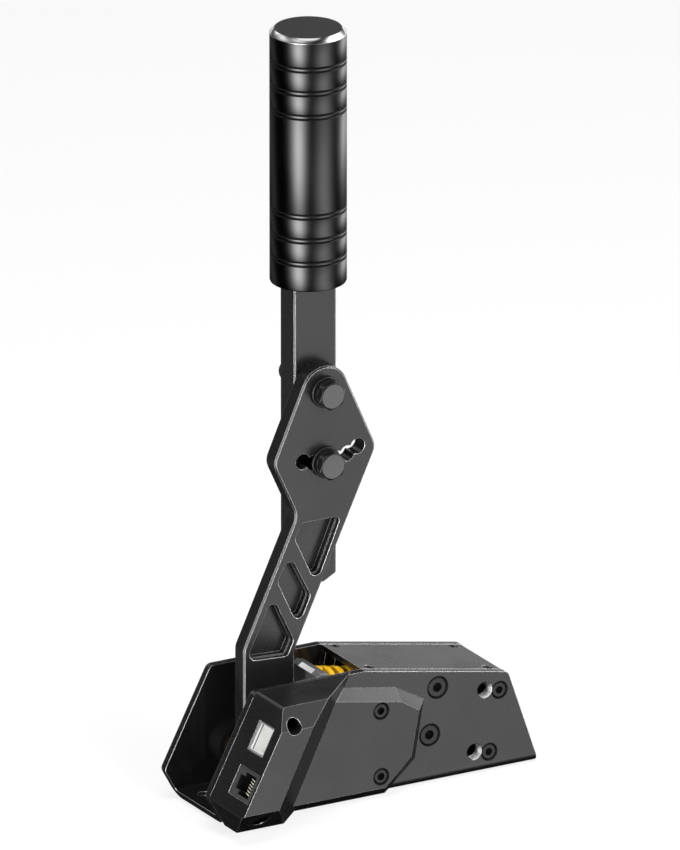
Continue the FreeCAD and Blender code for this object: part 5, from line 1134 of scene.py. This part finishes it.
def floor_surface(net):
    """Near white to the eye, with the object's soft shadow, and a quieter grey to the rest of the light."""
    paper = net.add("ShaderNodeBsdfDiffuse", {"Color": FLOOR_PAPER}).outputs[0]
    quiet = net.add("ShaderNodeBsdfDiffuse", {"Color": FLOOR_QUIET}).outputs[0]
    white = net.add("ShaderNodeEmission", {"Color": WHITE, "Strength": 1.0}).outputs[0]
    bright = net.add("ShaderNodeMixShader", {0: FLOOR_GLOW, 1: paper, 2: white}).outputs[0]
    return net.add("ShaderNodeMixShader", {0: net.seen(), 1: quiet, 2: bright}).outputs[0]


def build_floor(height):
    """A wide flat floor under the object."""
    half = sizes().floor_width / 2
    corners = [(-half, -half, height), (half, -half, height), (half, half, height), (-half, half, height)]
    stage_piece("floor", corners, [(0, 1, 2, 3)], floor_surface).visible_glossy = False


# the camera's turn and rise in degrees, its aim, distance and the height that it frames
CAMERA_TURN = -29.65
CAMERA_RISE = 20.0
CAMERA_AIM = (-4.66 * MM, 0, 157.7 * MM)
CAMERA_DISTANCE = 11.0
CAMERA_FRAMED = 351.2 * MM
SENSOR_HEIGHT = 36.0
# the tent's radius, lower and upper end, sides and glow without its lights
TENT_RADIUS, TENT_ENDS, TENT_SIDES, TENT_GLOW = 4.0, (-40.0, 12.0), 96, 0.012
# middle and width in degrees from the camera, level and half height in metres, strength
TENT_LIGHTS = (
    (-28.5, 18.0, -0.5, 2.4, 11.0),
    (47.0, 24.0, -1.5, 2.4, 2.6),
    (70.0, 20.0, -3.6, 1.4, 1.6),
    (122.0, 18.0, -0.5, 0.8, 4.2),
    (-126.0, 16.0, -1.2, 2.0, 0.2),
    (-144.0, 12.0, 2.7, 0.7, 1.6),
    (176.0, 34.0, 0.3, 0.42, 1.55),
    (168.0, 28.0, -0.75, 0.42, 1.0),
    (104.0, 26.0, 3.2, 1.8, 6.8),
    (-108.0, 30.0, 3.8, 1.3, 1.0),
    (-50.0, 40.0, 8.5, 3.0, 0.9),
)


def tent_surface(net):
    """A glow that at the angle t from the camera and the height z is a little, and the sum over the tent's lights
    of strength exp(-((t - middle) / width)^2) exp(-((z - level) / tall)^2)."""
    place = net.add("ShaderNodeTexCoord").outputs["Object"]
    x, y, z = net.add("ShaderNodeSeparateXYZ", {0: place}).outputs
    angle = net.calculate("ARCTAN2", x, net.times(y, -1.0))

    def hill(value, width):
        """exp(-(value / width)^2)"""
        scaled = net.calculate("DIVIDE", value, width)
        return net.calculate("EXPONENT", net.times(net.times(scaled, scaled), -1.0))

    total = TENT_GLOW
    for turn, width, level, tall, strength in TENT_LIGHTS:
        away = net.calculate("SUBTRACT", angle, math.radians(CAMERA_TURN + turn))
        glow = hill(net.calculate("WRAP", away, math.pi, -math.pi), math.radians(width))
        glow = net.times(glow, hill(net.calculate("SUBTRACT", z, level), tall))
        total = net.calculate("ADD", net.times(glow, strength), total)
    return net.add("ShaderNodeEmission", {"Color": WHITE, "Strength": total}).outputs[0]


def build_tent():
    """A round tent that only gloss sees: dim, with soft lights round it."""
    t = np.linspace(0, 2 * math.pi, TENT_SIDES, endpoint=False)
    ring = np.stack([np.sin(t), -np.cos(t)], axis=1) * TENT_RADIUS
    rows = np.concatenate([np.column_stack([ring, np.full(TENT_SIDES, z)]) for z in TENT_ENDS])
    faces = grid_faces(2, TENT_SIDES, 0)[:, ::-1]
    tent = stage_piece("tent", rows.tolist(), faces.tolist(), tent_surface)
    for ray in ("camera", "diffuse", "transmission", "shadow", "volume_scatter"):
        setattr(tent, f"visible_{ray}", False)


# strength of the plain room, and the point that the lamps turn to
ROOM_STRENGTH = 0.16
LAMP_TARGET = (-0.005, 0, 0.12)
# for each lamp: angle from the camera and height angle in degrees, distance and size in metres, watts
LAMPS = {
    "key": (45.0, 30.0, 2.2, 1.2, 44.0),
    "top": (20.0, 80.0, 2.0, 1.4, 36.0),
    "left": (-40.0, 14.0, 2.2, 0.9, 40.0),
}


def build_world(scene):
    """White to the camera, to gloss and through glass, and an even grey room for the rest of the light."""
    world = bpy.data.worlds.new("studio")
    scene.world = world
    net = bare_net(world)
    room, white = (
        net.add("ShaderNodeBackground", {"Color": WHITE, "Strength": strength}).outputs[0]
        for strength in (ROOM_STRENGTH, 1.0)
    )
    blend = net.add("ShaderNodeMixShader", {0: net.seen(), 1: room, 2: white}).outputs[0]
    net.add("ShaderNodeOutputWorld", {"Surface": blend})


def facing(name, data, target, turn, rise, distance):
    """An object that looks at a target from a turn round it and a rise, in degrees, at a distance."""
    holder = bpy.data.objects.new(name, data)
    bpy.context.scene.collection.objects.link(holder)
    a, e = math.radians(turn), math.radians(rise)
    back = Vector((math.sin(a) * math.cos(e), -math.cos(a) * math.cos(e), math.sin(e)))
    holder.location = Vector(target) + back * distance
    holder.rotation_mode = "QUATERNION"
    holder.rotation_quaternion = (-back).to_track_quat("-Z", "Y")
    return holder


def build_lamps():
    """The soft lamps, round and unseen."""
    for name, (turn, rise, distance, size, watts) in LAMPS.items():
        lamp = bpy.data.lights.new(name, "AREA")
        lamp.shape = "DISK"
        lamp.size = size
        lamp.energy = watts
        holder = facing(name, lamp, LAMP_TARGET, CAMERA_TURN + turn, rise, distance)
        holder.visible_camera = False
        holder.visible_glossy = False


def build_camera(scene):
    """A long lens at the photograph's angle."""
    data = bpy.data.cameras.new("camera")
    data.sensor_fit = "VERTICAL"
    data.sensor_height = SENSOR_HEIGHT
    data.lens = SENSOR_HEIGHT * CAMERA_DISTANCE / CAMERA_FRAMED
    data.clip_start, data.clip_end = 0.1, 100.0
    scene.camera = facing("camera", data, CAMERA_AIM, CAMERA_TURN, CAMERA_RISE, CAMERA_DISTANCE)


class HANDBRAKE_PT_panel(bpy.types.Panel):
    """Sizes, colours and the steps that build the handbrake's finish"""

    bl_idname = "HANDBRAKE_PT_panel"
    bl_label = "Handbrake"
    bl_space_type = "VIEW_3D"
    bl_region_type = "UI"
    bl_category = "Handbrake"

    def draw(self, context):
        for group in (context.scene.handbrake_sizes, context.scene.handbrake_colours):
            box = self.layout.box()
            for key in group.bl_rna.properties.keys():
                if key not in {"rna_type", "name"}:
                    box.prop(group, key)
        for step in STEPS:
            self.layout.operator(step.bl_idname)


STEPS = (
    HANDBRAKE_OT_finishes,
    HANDBRAKE_OT_grip,
    HANDBRAKE_OT_spring,
    HANDBRAKE_OT_plunger,
    HANDBRAKE_OT_bolts,
    HANDBRAKE_OT_screws,
    HANDBRAKE_OT_contacts,
    HANDBRAKE_OT_stage,
)
CLASSES = (HandbrakeSizes, HandbrakeColours, *STEPS, HANDBRAKE_PT_panel)


def register():
    for item in CLASSES:
        bpy.utils.register_class(item)
    bpy.types.Scene.handbrake_sizes = PointerProperty(type=HandbrakeSizes)
    bpy.types.Scene.handbrake_colours = PointerProperty(type=HandbrakeColours)


def unregister():
    del bpy.types.Scene.handbrake_colours
    del bpy.types.Scene.handbrake_sizes
    for item in reversed(CLASSES):
        bpy.utils.unregister_class(item)


def main():
    register()
    bpy.ops.handbrake.finishes()
    bpy.ops.handbrake.grip()
    bpy.ops.handbrake.spring()
    bpy.ops.handbrake.plunger()
    bpy.ops.handbrake.bolts()
    bpy.ops.handbrake.screws()
    bpy.ops.handbrake.contacts()
    bpy.ops.handbrake.stage()


if __name__ == "__main__":
    main()
